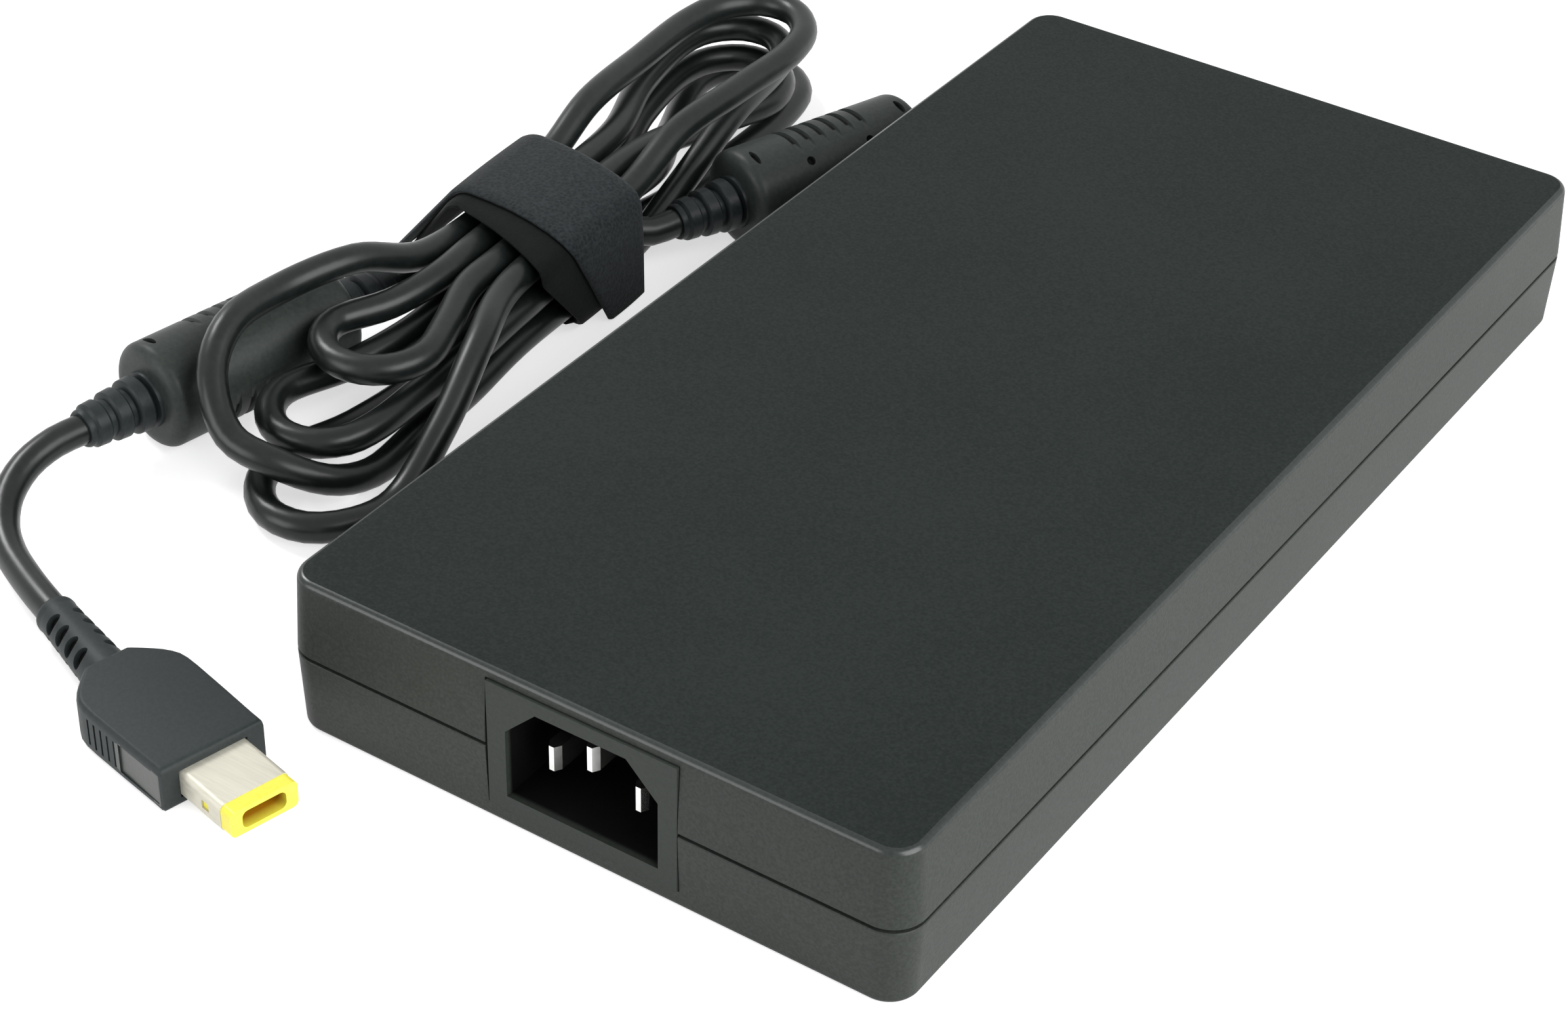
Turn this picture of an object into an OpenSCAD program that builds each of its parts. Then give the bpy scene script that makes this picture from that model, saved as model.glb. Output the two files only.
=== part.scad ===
// Laptop power adapter: a slim moulded brick with a three-pin mains inlet at one end and a
// tied output cord, two ferrite beads and a flat rectangular plug at the other.
// The brick lies flat: X is its width, Y its length with the inlet at -Y, Z is up from the table.

/* [Housing] */
// Length of the housing, from the inlet face to the cord face
housing_length = 200; // [194:1:230]
// Width of the housing
housing_width = 100; // [98:1:120]
// Height of the housing
housing_height = 25.4; // [25:0.1:29]
// Thickness of the moulded walls
wall = 2.2; // [1.8:0.1:2.4]
// Radius of the four upright corners
corner_radius = 5; // [4:0.5:8]
// Rounding of the long top edges
edge_radius = 1.1; // [0.6:0.1:1.6]
// Inward lean of each shell's walls between the parting line and its flat face
draft = 0.6; // [0.1:0.1:0.8]
// Height of the parting line between the two shells
parting_height = 12.8; // [12.4:0.1:13.2]
// Width of the shadow groove along the parting line
groove_width = 0.5; // [0.3:0.1:0.8]
// Height of the locating tongue on the lower shell's rim
tongue_height = 1.2; // [0.8:0.1:1.8]
// Thickness of the locating tongue
tongue_thickness = 0.9; // [0.7:0.1:1.1]
// Side clearance of moulded parts that slide together
fit_clearance = 0.15; // [0.1:0.05:0.3]

/* [Mains inlet] */
// Width of the inlet's front panel
inlet_panel_width = 30.5; // [29:0.5:33]
// Height of the inlet's front panel
inlet_panel_height = 20.7; // [20:0.1:21]
// Sideways place of the inlet's centre
inlet_x = 0.4; // [-4:0.1:4]
// Width of the socket cavity
inlet_cavity_width = 24.5; // [24:0.1:25]
// Height of the socket cavity
inlet_cavity_height = 16; // [15.6:0.1:16.6]
// Depth of the socket cavity
inlet_cavity_depth = 16.5; // [15:0.5:18]
// Size of the cut upper corners of the cavity
inlet_chamfer = 5; // [4:0.5:6]
// Overall depth of the inlet block
inlet_depth = 21; // [20:0.5:22]
// Distance between the live and neutral pins
pin_spacing = 14; // [13:0.5:15]
// Height of a pin's cross-section
pin_height = 4; // [3.5:0.1:4.4]
// Thickness of a pin
pin_thickness = 2; // [1.6:0.1:2.4]
// Rise of the earth pin above the other two
earth_rise = 4; // [3.5:0.1:4.5]
// Reach of the live and neutral pins above the cavity's floor
pin_reach = 13.5; // [12:0.5:14.5]

/* [Circuit board and shields] */
// Thickness of the circuit board
board_thickness = 1.6; // [1.2:0.1:2]
// Gap between the circuit board's edges and the housing's inner walls
board_edge_gap = 2.5; // [1.5:0.5:3.5]
// Height of the board's underside above the housing's floor
board_lift = 4.2; // [3.6:0.1:4.8]
// Thickness of the insulating sheets
sheet_thickness = 0.4; // [0.2:0.1:0.5]
// Thickness of the aluminium shields
shield_thickness = 0.8; // [0.6:0.1:1]
// Width of the aluminium shields
shield_width = 76; // [74:1:78]
// Depth of the turned-down edges of the upper shield
shield_edge_depth = 6; // [4:0.5:8]
// Radius of the posts that carry the circuit board
post_radius = 2.8; // [2.4:0.1:3.2]
// Radius of the locating pins on those posts
post_pin_radius = 1.2; // [1:0.1:1.4]

/* [Circuit parts] */
// Gap between the reservoir capacitors and the upper shield
bulk_capacitor_headroom = 1; // [0.6:0.1:3]
// Length of the reservoir capacitors
bulk_capacitor_length = 34; // [28:1:36]
// Length of the transformer along the housing
transformer_length = 32; // [26:1:34]
// Width of the transformer
transformer_width = 30; // [26:1:32]
// Gap between the transformer core and the upper shield, filled by a thermal pad
transformer_headroom = 1.4; // [1:0.1:3]
// Gap between the heat sinks and the upper shield, filled by thermal pads
heat_sink_headroom = 1.6; // [1:0.1:3]
// Diameter of the output capacitors
output_capacitor_diameter = 9; // [7:0.5:10]
// Gap between the output capacitors and the upper shield
output_capacitor_headroom = 2; // [1:0.1:4]

/* [Output cord] */
// Diameter of the output cord
cord_diameter = 4.8; // [4.4:0.1:4.9]
// Sideways place of the cord's exit from the housing
exit_x = -14; // [-16:1:-12]
// Diameter of a ferrite bead's barrel
bead_diameter = 17.2; // [16:0.1:17.6]
// Length of a ferrite bead's barrel
bead_length = 36; // [34:0.5:38]
// Length of the ringed sleeve at each end of a bead
bead_sleeve_length = 12; // [11:0.5:13]

/* [Plug] */
// Width of the plug's grip
plug_width = 17.4; // [16:0.1:19]
// Thickness of the plug's grip
plug_thickness = 7.4; // [7:0.1:8.4]
// Length of the plug's grip
plug_length = 25.6; // [24:0.2:28]
// Width of the plug's metal sleeve
sleeve_width = 11; // [10.6:0.1:11.4]
// Height of the plug's metal sleeve
sleeve_height = 4.5; // [4.3:0.1:4.8]
// Reach of the plug's metal sleeve beyond the grip
sleeve_reach = 9.3; // [8:0.1:10]
// Thickness of the metal sleeve's wall
sleeve_wall = 0.3; // [0.2:0.05:0.4]
// Length of the coloured tip beyond the sleeve
tip_length = 2.2; // [1.5:0.1:3]
// Length of the plug's slotted strain relief
plug_relief_length = 17; // [16:0.5:18]

/* [Hidden] */

round_sides = 64;
small_sides = 32;
cut = 1;                          // how far a cutting shape runs past what it cuts

// Heights inside the housing, from the floor up
floor_z = wall;
lower_sheet_z = floor_z;
lower_shield_z = lower_sheet_z + sheet_thickness;
board_z = floor_z + board_lift;
board_top = board_z + board_thickness;
ceiling_z = housing_height - wall;
upper_sheet_z = ceiling_z - sheet_thickness;
upper_shield_z = upper_sheet_z - shield_thickness;

// Tall parts reach up into the room between the board and the upper shield
headroom = upper_shield_z - board_top;
bulk_capacitor_diameter = headroom - bulk_capacitor_headroom;
transformer_height = headroom - transformer_headroom;
heat_sink_height = headroom - heat_sink_headroom;
output_capacitor_height = headroom - output_capacitor_headroom;
filter_capacitor_height = headroom - 1;
line_choke_height = headroom - 3;

// Plan of the inside
inner_x = housing_width / 2 - wall;
inner_y = housing_length / 2 - wall;
inner_radius = max(corner_radius - wall, 0.5);
board_x = inner_x - board_edge_gap;
board_y = inner_y - board_edge_gap;

// Shells
base_inset = 0.6;                 // small rounding where the walls meet the base
base_step = 0.4;
rim_z = parting_height - groove_width / 2;
upper_rim_z = parting_height + groove_width / 2;
tongue_top = parting_height + tongue_height;

// Inlet
inlet_front_y = -housing_length / 2 + 0.1;
inlet_panel_z = (housing_height - inlet_panel_height) / 2 + 0.65;
inlet_centre_z = inlet_panel_z + inlet_panel_height / 2 + 0.1;
inlet_back_y = inlet_front_y + inlet_depth;
inlet_shoulder = 2.4;             // how much wider the block is behind the wall
inlet_rear_gap = 0.2;             // above and below the block inside the shells
cavity_floor_y = inlet_front_y + inlet_cavity_depth;
pin_drop = 1;                     // live and neutral pins lie this far below the cavity's middle
tail_length = 4;
tail_width = 2.8;
tail_thickness = 0.8;
notch_margin = 2;                 // free space between the block and the board's notch
wire_radius = 1.1;

// Posts and pins that hold the board
post_x = board_x - post_radius;
post_y = board_y - post_radius - 3;
post_pin_rise = 0.8;

// Shields and sheets
shield_front_y = inlet_back_y + 8;
shield_back_y = inner_y - 9;
sheet_margin = 1;                 // the insulating sheets stand this far past the shields

// Rows of circuit parts: from the inlet, and from the cord end
front_row_y = -housing_length / 2 + 16;
choke_row_y = inlet_back_y + 17;
reservoir_row_y = choke_row_y + 12;
transformer_front_y = reservoir_row_y + bulk_capacitor_length + 4;
output_row_y = inner_y - 52;
choke_output_y = inner_y - 27;

// Cord exit
exit_z = parting_height;
relief_flange = 13;
relief_flange_depth = 2.6;
relief_board_gap = 0.5;
relief_neck_radius = 5.2;
relief_collar_radius = 5.6;
relief_collar_depth = 1.4;
face_y = housing_length / 2;
tube_sides = 10;

// Ferrite beads: centre of the barrel's end that faces the inlet end, and heading from +Y to +X
bead_z = bead_diameter / 2;
bead_1_at = [-71.4, 38, bead_z];
bead_1_heading = 19.5;
bead_2_at = [-110.4, -62, bead_z];
bead_2_heading = 11;
core_length_margin = 3;
core_skin = 1.6;
bead_bore = cord_diameter + 1;

// Plug: middle of the grip's front face, and heading from +X to +Y
plug_at = [-48.6, -116.3, 0];
plug_heading = -13.5;
plug_mid_z = plug_thickness / 2;
relief_turn = 7;                  // sideways lean of the plug's strain relief
plug_relief_start = cord_diameter / 2 + 0.4;
plug_relief_end = 3.6;

// Hank: middle of its waist, and heading of its run from +Y to +X
hank_at = [-88.5, 8, 0];
hank_heading = -4;
hank_pitch = cord_diameter + 0.8; // step between cords that lie side by side in the waist
hank_column = 8.4;                // right-hand column of cords in the waist
hank_row = 4.2;                   // lowest row of cords in the waist
hank_sides = 6;
hank_radius = cord_diameter / 2 * 1.05;
near_places = [0.35, 0.58, 0.8];  // where a near loop's rings sit along its run, as shares
far_places = [0.22, 0.46, 0.74];  // the same for a far loop
turn_steps = 5;                   // steps round the end of a loop

// Strap: closed inner turn, and an outer turn on top of it. Its left side slants to a flat foot
strap_thickness = 1.1;
strap_half = 12.2;                // from the hank's middle to the inside of the right-hand wall
strap_top = strap_thickness + 17.6;
strap_corner = 5;
strap_base_corner = 3.5;
strap_shoulder = -7.35;           // centre of the bend at the top of the slanting side
strap_slant = 50;
strap_bedding = 0.15;
strap_far_edge = 12;              // ends of both turns on the hank's middle line
strap_outer_edge = -9.4;
strap_inner_edge = -19.5;
strap_skew = 0.25;                // how far those ends run back over each unit across
strap_inner_skew = 0.15;

// Plug's metal and plastic core
sleeve_seat = 8;                  // how deep the sleeve sits in the grip
sleeve_corner = 0.9;
core_width = sleeve_width - 2 * sleeve_wall;
core_height = sleeve_height - 2 * sleeve_wall;
core_corner = sleeve_corner - sleeve_wall;
inner_block_reach = 2.4;          // the block ends this far in front of the grip
tip_hole_width = 7;
tip_hole_height = 2.8;
centre_pin_radius = 0.45;
centre_pin_root = 4;
centre_pin_reach = 6.4;

// ---------- helpers ----------

// Rounded rectangle in plan, centred on the origin
module plan(half_x, half_y, radius, height) {
    cube_x = half_x - radius;
    cube_y = half_y - radius;
    translate([-half_x, -cube_y, 0]) cube([2 * half_x, 2 * cube_y, height]);
    translate([-cube_x, -half_y, 0]) cube([2 * cube_x, 2 * half_y, height]);
    for (sx = [-1, 1], sy = [-1, 1])
        translate([sx * cube_x, sy * cube_y, 0])
            cylinder(r = radius, h = height, $fn = round_sides);
}

// Box centred in X and Y that stands on z = 0
module block(size_x, size_y, size_z) {
    translate([-size_x / 2, -size_y / 2, 0]) cube([size_x, size_y, size_z]);
}

// Straight wire between two points that share two coordinates
module wire_up(at, height) {
    translate(at) cylinder(r = wire_radius, h = height, $fn = small_sides);
}

module wire_along_y(at, length) {
    translate(at) rotate([-90, 0, 0]) cylinder(r = wire_radius, h = length, $fn = small_sides);
}

function unit(v) = v / norm(v);
function heading_vector(angle) = [sin(angle), cos(angle), 0];
function tangent(path, i) =
    unit(path[min(i + 1, len(path) - 1)] - path[max(i - 1, 0)]);
function side_of(t) = unit(cross(t, [0, 0, 1]));

// Ring of points round one place on a route
function ring(centre, t, radius, sides) =
    let (side = side_of(t), up = cross(side, t), half_step = 180 / sides)
    [for (k = [0 : sides - 1])
        let (a = 360 * k / sides + half_step)
        centre + radius * (cos(a) * side + sin(a) * up)];

// One closed tube along a route, with a radius at each of its points
module tube(path, radii, sides, first_t, last_t) {
    count = len(path);
    points = [for (i = [0 : count - 1])
        let (t = i == 0 ? first_t : (i == count - 1 ? last_t : tangent(path, i)))
        each ring(path[i], t, radii[i], sides)];
    walls = [for (i = [0 : count - 2], k = [0 : sides - 1])
        let (a = i * sides + k, b = i * sides + (k + 1) % sides)
        each [[a, b, a + sides], [b, b + sides, a + sides]]];
    first_cap = [for (k = [1 : sides - 2]) [0, k + 1, k]];
    last = (count - 1) * sides;
    last_cap = [for (k = [1 : sides - 2]) [last, last + k, last + k + 1]];
    polyhedron(points = points, faces = concat(walls, first_cap, last_cap), convexity = 10);
}

// ---------- housing ----------

// Outline of one corner of a shell: from the parting line out to the flat face
module lower_corner() {
    rotate_extrude($fn = small_sides)
        polygon([[0, base_step], [corner_radius - draft - base_inset, base_step],
            [corner_radius - draft, base_inset + base_step], [corner_radius, rim_z], [0, rim_z]]);
}

module upper_corner() {
    top_r = corner_radius - draft;
    arc_steps = 4;
    arc = [for (k = [0 : arc_steps])
        let (a = 90 * k / arc_steps)
        [top_r - edge_radius + edge_radius * cos(a),
            housing_height - edge_radius + edge_radius * sin(a)]];
    rotate_extrude($fn = small_sides)
        polygon(concat([[0, upper_rim_z], [corner_radius, upper_rim_z]], arc,
            [[0, housing_height]]));
}

// The four corners joined into one drafted box
module drafted_box() {
    hull()
        for (sx = [-1, 1], sy = [-1, 1])
            translate([sx * (housing_width / 2 - corner_radius),
                    sy * (housing_length / 2 - corner_radius), 0])
                children();
}

// Window in the front wall that the inlet block fills
module inlet_window() {
    width = inlet_panel_width + 2 * fit_clearance;
    height = inlet_panel_height + 2 * fit_clearance;
    translate([inlet_x, -housing_length / 2 + wall / 2 + 0.2, inlet_panel_z - fit_clearance])
        block(width, wall + 2 * cut, height);
}

// Round hole in the end wall that the cord's strain relief fills
module cord_hole() {
    translate([exit_x, face_y - wall - cut, exit_z])
        rotate([-90, 0, 0])
            cylinder(r = relief_neck_radius + fit_clearance, h = wall + 2 * cut,
                $fn = round_sides);
}

module each_post() {
    for (sx = [-1, 1], sy = [-1, 1])
        translate([sx * post_x, sy * post_y, 0]) children();
}

module lower_housing() {
    color([0.24, 0.27, 0.25]) {
        difference() {
            union() {
                drafted_box() lower_corner();
                plan(housing_width / 2 - draft - base_inset,
                    housing_length / 2 - draft - base_inset,
                    corner_radius - draft - base_inset, wall);
                translate([0, 0, rim_z - wall])
                    plan(inner_x + tongue_thickness, inner_y + tongue_thickness,
                        inner_radius + tongue_thickness, tongue_top - rim_z + wall);
            }
            translate([0, 0, floor_z])
                plan(inner_x, inner_y, inner_radius, housing_height);
            inlet_window();
            cord_hole();
        }
        each_post() {
            translate([0, 0, floor_z - 0.2])
                cylinder(r = post_radius, h = board_lift + 0.2, $fn = round_sides);
            translate([0, 0, board_z - 0.2])
                cylinder(r = post_pin_radius, h = board_thickness + post_pin_rise + 0.2,
                    $fn = small_sides);
        }
    }
}

module upper_housing() {
    rebate = tongue_thickness + fit_clearance;
    color([0.2, 0.22, 0.22]) {
        difference() {
            drafted_box() upper_corner();
            translate([0, 0, upper_rim_z - cut])
                plan(inner_x, inner_y, inner_radius, ceiling_z - upper_rim_z + cut);
            translate([0, 0, upper_rim_z - cut])
                plan(inner_x + rebate, inner_y + rebate, inner_radius + rebate,
                    tongue_top - upper_rim_z + cut);
            inlet_window();
            cord_hole();
        }
        // Hollow posts that hold the board down over the lower shell's pins
        each_post()
            translate([0, 0, board_top])
                difference() {
                    cylinder(r = post_radius, h = ceiling_z - board_top + 0.2,
                        $fn = round_sides);
                    translate([0, 0, -cut])
                        cylinder(r = post_pin_radius + fit_clearance,
                            h = post_pin_rise + cut + 1, $fn = small_sides);
                }
    }
}

// ---------- mains inlet ----------

// Cavity outline: a rectangle whose two upper corners are cut off
module cavity_outline() {
    half_w = inlet_cavity_width / 2;
    half_h = inlet_cavity_height / 2;
    polygon([[-half_w, -half_h], [half_w, -half_h], [half_w, half_h - inlet_chamfer],
        [half_w - inlet_chamfer, half_h], [inlet_chamfer - half_w, half_h],
        [-half_w, half_h - inlet_chamfer]]);
}

// The three pins' places across and up from the cavity's centre: live, neutral, earth
pin_places = [[pin_spacing / 2, -pin_drop], [-pin_spacing / 2, -pin_drop],
    [0, earth_rise - pin_drop]];

module at_pin(index, y) {
    translate([inlet_x + pin_places[index][0], y, inlet_centre_z + pin_places[index][1]])
        children();
}

module inlet_block() {
    rear_z = floor_z + inlet_rear_gap;
    rear_height = ceiling_z - floor_z - 2 * inlet_rear_gap;
    rear_y = -housing_length / 2 + wall + fit_clearance;
    color([0.16, 0.17, 0.16])
        difference() {
            union() {
                translate([inlet_x, (inlet_front_y + rear_y + cut) / 2, inlet_panel_z])
                    block(inlet_panel_width, rear_y + cut - inlet_front_y, inlet_panel_height);
                translate([inlet_x, (rear_y + inlet_back_y) / 2, rear_z])
                    block(inlet_panel_width + inlet_shoulder, inlet_back_y - rear_y,
                        rear_height);
            }
            translate([inlet_x, cavity_floor_y, inlet_centre_z])
                rotate([90, 0, 0])
                    linear_extrude(inlet_cavity_depth + cut)
                        cavity_outline();
            for (index = [0 : 2])
                at_pin(index, (cavity_floor_y + inlet_back_y) / 2)
                    translate([0, 0, -pin_height / 2])
                        block(pin_thickness, inlet_back_y - cavity_floor_y + 2 * cut,
                            pin_height);
        }
}

// Flat pin with a chamfered nose, and a thin soldering tail behind the block
module pin(index, reach) {
    nose = pin_thickness / 2;
    color([0.86, 0.85, 0.8])
        at_pin(index, cavity_floor_y) {
            translate([0, 0, -pin_height / 2])
                    linear_extrude(pin_height)
                        polygon([[-pin_thickness / 2, inlet_back_y - cavity_floor_y],
                            [-pin_thickness / 2, -reach + nose],
                            [-pin_thickness / 5, -reach], [pin_thickness / 5, -reach],
                            [pin_thickness / 2, -reach + nose],
                            [pin_thickness / 2, inlet_back_y - cavity_floor_y]]);
            translate([0, inlet_back_y - cavity_floor_y + tail_length / 2, -tail_width / 2])
                block(tail_thickness, tail_length, tail_width);
        }
}

module live_pin() { pin(0, pin_reach); }
module neutral_pin() { pin(1, pin_reach); }
module earth_pin() { pin(2, pin_reach + 1); }

// One wire from each pin's tail down to the board
module inlet_wires() {
    start_y = inlet_back_y + tail_length;
    run = 2.6;
    color([0.75, 0.7, 0.25])
        for (index = [0 : 2]) {
            end_z = inlet_centre_z + pin_places[index][1];
            at_pin(index, start_y) rotate([-90, 0, 0])
                cylinder(r = wire_radius, h = run, $fn = small_sides);
            at_pin(index, start_y + run) sphere(r = wire_radius, $fn = small_sides);
            wire_up([inlet_x + pin_places[index][0], start_y + run, board_top],
                end_z - board_top);
        }
}

// ---------- board, sheets and shields ----------

// Plan of the shielded area behind the inlet
module shield_plate(margin, z, thickness) {
    length = shield_back_y - shield_front_y + 2 * margin;
    translate([0, (shield_back_y + shield_front_y) / 2, z])
        block(shield_width + 2 * margin, length, thickness);
}

module lower_insulating_sheet() {
    color([0.85, 0.85, 0.75])
        shield_plate(sheet_margin, lower_sheet_z, sheet_thickness);
}

module upper_insulating_sheet() {
    color([0.85, 0.85, 0.75])
        shield_plate(sheet_margin, upper_sheet_z, sheet_thickness);
}

module lower_shield() {
    color([0.75, 0.76, 0.78]) {
        shield_plate(0, lower_shield_z, shield_thickness);
        // Turned-up edges that stop short of the board
        for (sx = [-1, 1])
            translate([sx * (shield_width - shield_thickness) / 2,
                    (shield_back_y + shield_front_y) / 2, lower_shield_z])
                block(shield_thickness, shield_back_y - shield_front_y,
                    board_z - lower_shield_z);
    }
}

module upper_shield() {
    color([0.75, 0.76, 0.78]) {
        shield_plate(0, upper_shield_z, shield_thickness);
        for (sx = [-1, 1])
            translate([sx * (shield_width - shield_thickness) / 2,
                    (shield_back_y + shield_front_y) / 2,
                    upper_shield_z - shield_edge_depth])
                block(shield_thickness, shield_back_y - shield_front_y,
                    shield_edge_depth + shield_thickness);
    }
}

module circuit_board() {
    notch_x = (inlet_panel_width + inlet_shoulder) / 2 + notch_margin;
    notch_y = inlet_back_y + tail_length / 2;
    color([0.2, 0.42, 0.22])
        difference() {
            translate([-board_x, -board_y, board_z])
                cube([2 * board_x, 2 * board_y, board_thickness]);
            translate([inlet_x - notch_x, -board_y - cut, board_z - cut])
                cube([2 * notch_x, notch_y + board_y + cut, board_thickness + 2 * cut]);
            each_post()
                translate([0, 0, board_z - cut])
                    cylinder(r = post_pin_radius + fit_clearance,
                        h = board_thickness + 2 * cut, $fn = small_sides);
        }
}

// ---------- mains side ----------

// Places its children on the board's top face
module on_board(x, y) {
    translate([x, y, board_top]) children();
}

module fuse() {
    radius = 2.6;
    length = 20;
    cap = 5;
    color([0.8, 0.8, 0.75])
        on_board(-31, front_row_y) {
            translate([0, -length / 2, radius + 0.3]) rotate([-90, 0, 0])
                cylinder(r = radius - 0.2, h = length, $fn = small_sides);
            for (end = [-length / 2, length / 2 - cap]) {
                translate([0, end, radius + 0.3]) rotate([-90, 0, 0])
                    cylinder(r = radius, h = cap, $fn = small_sides);
                translate([0, end + cap / 2, 0])
                    cylinder(r = 0.5, h = radius, $fn = small_sides);
            }
        }
}

module filter_capacitor() {
    color([0.75, 0.6, 0.2])
        on_board(31, front_row_y) block(9, 18, filter_capacitor_height);
}

// Two windings on one upright ring, on a small base
module line_filter_choke(x) {
    outer = 8.5;
    inner = 3.5;
    base = 1.5;
    height = line_choke_height;
    color([0.65, 0.35, 0.15])
        on_board(x, choke_row_y) {
            block(2 * outer, 2 * outer, base);
            translate([0, 0, base])
                difference() {
                    cylinder(r = outer, h = height - base, $fn = round_sides);
                    translate([0, 0, -cut])
                        cylinder(r = inner, h = height + cut, $fn = round_sides);
                }
            // Divider between the two windings
            translate([0, 0, base]) block(1.2, 2 * inner, height - base);
        }
}

module line_filter_choke_1() { line_filter_choke(-26); }
module line_filter_choke_2() { line_filter_choke(-6); }

module safety_capacitors() {
    radius = 4;
    thickness = 3.4;
    lead = 1.6;
    color([0.2, 0.4, 0.75])
        for (step = [-1, 1])
            on_board(9, choke_row_y + 5 * step) {
                translate([0, thickness / 2, radius + lead]) rotate([90, 0, 0])
                    cylinder(r = radius, h = thickness, $fn = small_sides);
                for (sx = [-1, 1])
                    translate([2.5 * sx, 0, 0]) cylinder(r = 0.4, h = 3, $fn = small_sides);
            }
}

module bridge_rectifier() {
    color([0.12, 0.12, 0.13])
        on_board(25, choke_row_y)
            difference() {
                block(20, 15, 4.6);
                translate([0, 0, -cut]) cylinder(r = 1.7, h = 6.6, $fn = small_sides);
            }
}

// ---------- power factor stage ----------

pfc_x = -22;
pfc_y = reservoir_row_y + 17;
pfc_core_x = 26;
pfc_core_y = 26;
pfc_core_z = heat_sink_height;
core_web = 5;                     // thickness of a core's outer walls and base
pfc_post_radius = 3.6;
transformer_post_radius = 4.6;

// Pair of E-shaped core halves: a frame with a round middle post, open along X
module e_core(size_x, size_y, size_z, post_radius) {
    difference() {
        block(size_x, size_y, size_z);
        translate([0, 0, core_web / 2])
            block(size_x - 2 * core_web, size_y + 2 * cut, size_z - core_web);
    }
    translate([0, 0, core_web / 2 - 0.1])
        cylinder(r = post_radius, h = size_z - core_web + 0.2, $fn = round_sides);
}

// Winding that fills the window of an e_core around its middle post
module e_winding(size_x, size_y, size_z, post_radius) {
    gap = 0.2;
    coil_z = size_z - core_web - 2 * gap;
    coil_r = size_x / 2 - core_web - gap;
    translate([0, 0, core_web / 2 + gap])
        difference() {
            union() {
                cylinder(r = coil_r, h = coil_z, $fn = round_sides);
                // Bobbin flanges that reach the core's two open faces
                for (z = [0, coil_z - 1])
                    translate([0, 0, z]) block(2 * coil_r, size_y, 1);
            }
            translate([0, 0, -cut])
                cylinder(r = post_radius + gap, h = coil_z + 2 * cut, $fn = round_sides);
        }
}

module pfc_choke_core() {
    color([0.25, 0.24, 0.24])
        on_board(pfc_x, pfc_y)
            e_core(pfc_core_x, pfc_core_y, pfc_core_z, pfc_post_radius);
}

module pfc_choke_winding() {
    color([0.72, 0.42, 0.2])
        on_board(pfc_x, pfc_y)
            e_winding(pfc_core_x, pfc_core_y, pfc_core_z, pfc_post_radius);
}

module bulk_capacitors() {
    radius = bulk_capacitor_diameter / 2;
    pitch = bulk_capacitor_diameter + 2;
    color([0.15, 0.2, 0.4])
        for (step = [-0.5, 0.5])
            on_board(18 + step * pitch, reservoir_row_y) {
                translate([0, 0, radius]) rotate([-90, 0, 0])
                    cylinder(r = radius, h = bulk_capacitor_length, $fn = round_sides);
                translate([0, bulk_capacitor_length, radius]) rotate([-90, 0, 0])
                    cylinder(r = radius - 1, h = 1, $fn = round_sides);
                for (sx = [-1, 1])
                    translate([sx * 3, bulk_capacitor_length + 1.5, 0])
                        cylinder(r = 0.4, h = radius, $fn = small_sides);
                for (sx = [-1, 1])
                    translate([sx * 3, bulk_capacitor_length + 0.9, radius])
                        rotate([-90, 0, 0])
                            cylinder(r = 0.4, h = 1, $fn = small_sides);
            }
}

// ---------- converter ----------

transformer_x = 0;
transformer_y = transformer_front_y + transformer_length / 2;
sink_thickness = 2.5;
sink_x = shield_width / 2 - shield_thickness - 3.5;
sink_length = 34;
package_x = 4.5;
package_y = 10;
package_lift = 3;
package_z = heat_sink_height - package_lift - 0.4;

// Upright aluminium plate beside the transformer
module heat_sink(side) {
    color([0.7, 0.71, 0.73])
        on_board(side * (sink_x - sink_thickness / 2), transformer_y)
            block(sink_thickness, sink_length, heat_sink_height);
}

// Three power packages with legs, flat against a heat sink
module power_packages(side) {
    x = side * (sink_x - sink_thickness - package_x / 2);
    color([0.1, 0.1, 0.11])
        for (step = [-1, 0, 1])
            on_board(x, transformer_y + step * 11.5) {
                translate([0, 0, package_lift]) block(package_x, package_y, package_z);
                for (leg = [-1, 0, 1])
                    translate([0, leg * 2.54, 0]) block(0.8, 1, package_lift);
            }
}

module primary_heat_sink() { heat_sink(-1); }
module switching_transistors() { power_packages(-1); }
module secondary_heat_sink() { heat_sink(1); }
module rectifier_transistors() { power_packages(1); }

module transformer_core() {
    color([0.25, 0.24, 0.24])
        on_board(transformer_x, transformer_y)
            e_core(transformer_width, transformer_length, transformer_height,
                transformer_post_radius);
}

module transformer_winding() {
    color([0.85, 0.7, 0.2])
        on_board(transformer_x, transformer_y)
            e_winding(transformer_width, transformer_length, transformer_height,
                transformer_post_radius);
}

module optocouplers() {
    color([0.14, 0.14, 0.15])
        for (step = [-1, 1])
            on_board(7 + step * 4, transformer_y + transformer_length / 2 + 4)
                block(6.5, 4.6, 3.5);
}

// ---------- output side ----------

module output_capacitors() {
    pitch = output_capacitor_diameter + 1.5;
    color([0.2, 0.22, 0.3])
        for (column = [0 : 2], row = [0 : 1])
            on_board(-28 + column * pitch, output_row_y + row * pitch)
                difference() {
                    cylinder(r = output_capacitor_diameter / 2, h = output_capacitor_height,
                        $fn = round_sides);
                    // Pressure-relief score across the top
                    translate([0, 0, output_capacitor_height - 0.2])
                        block(0.6, output_capacitor_diameter * 0.7, cut);
                }
}

module output_choke() {
    outer = 8;
    inner = 3.4;
    height = 8;
    color([0.7, 0.45, 0.2])
        on_board(22, output_row_y + 8)
            difference() {
                cylinder(r = outer, h = height, $fn = round_sides);
                translate([0, 0, -cut])
                    cylinder(r = inner, h = height + 2 * cut, $fn = round_sides);
            }
}

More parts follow.
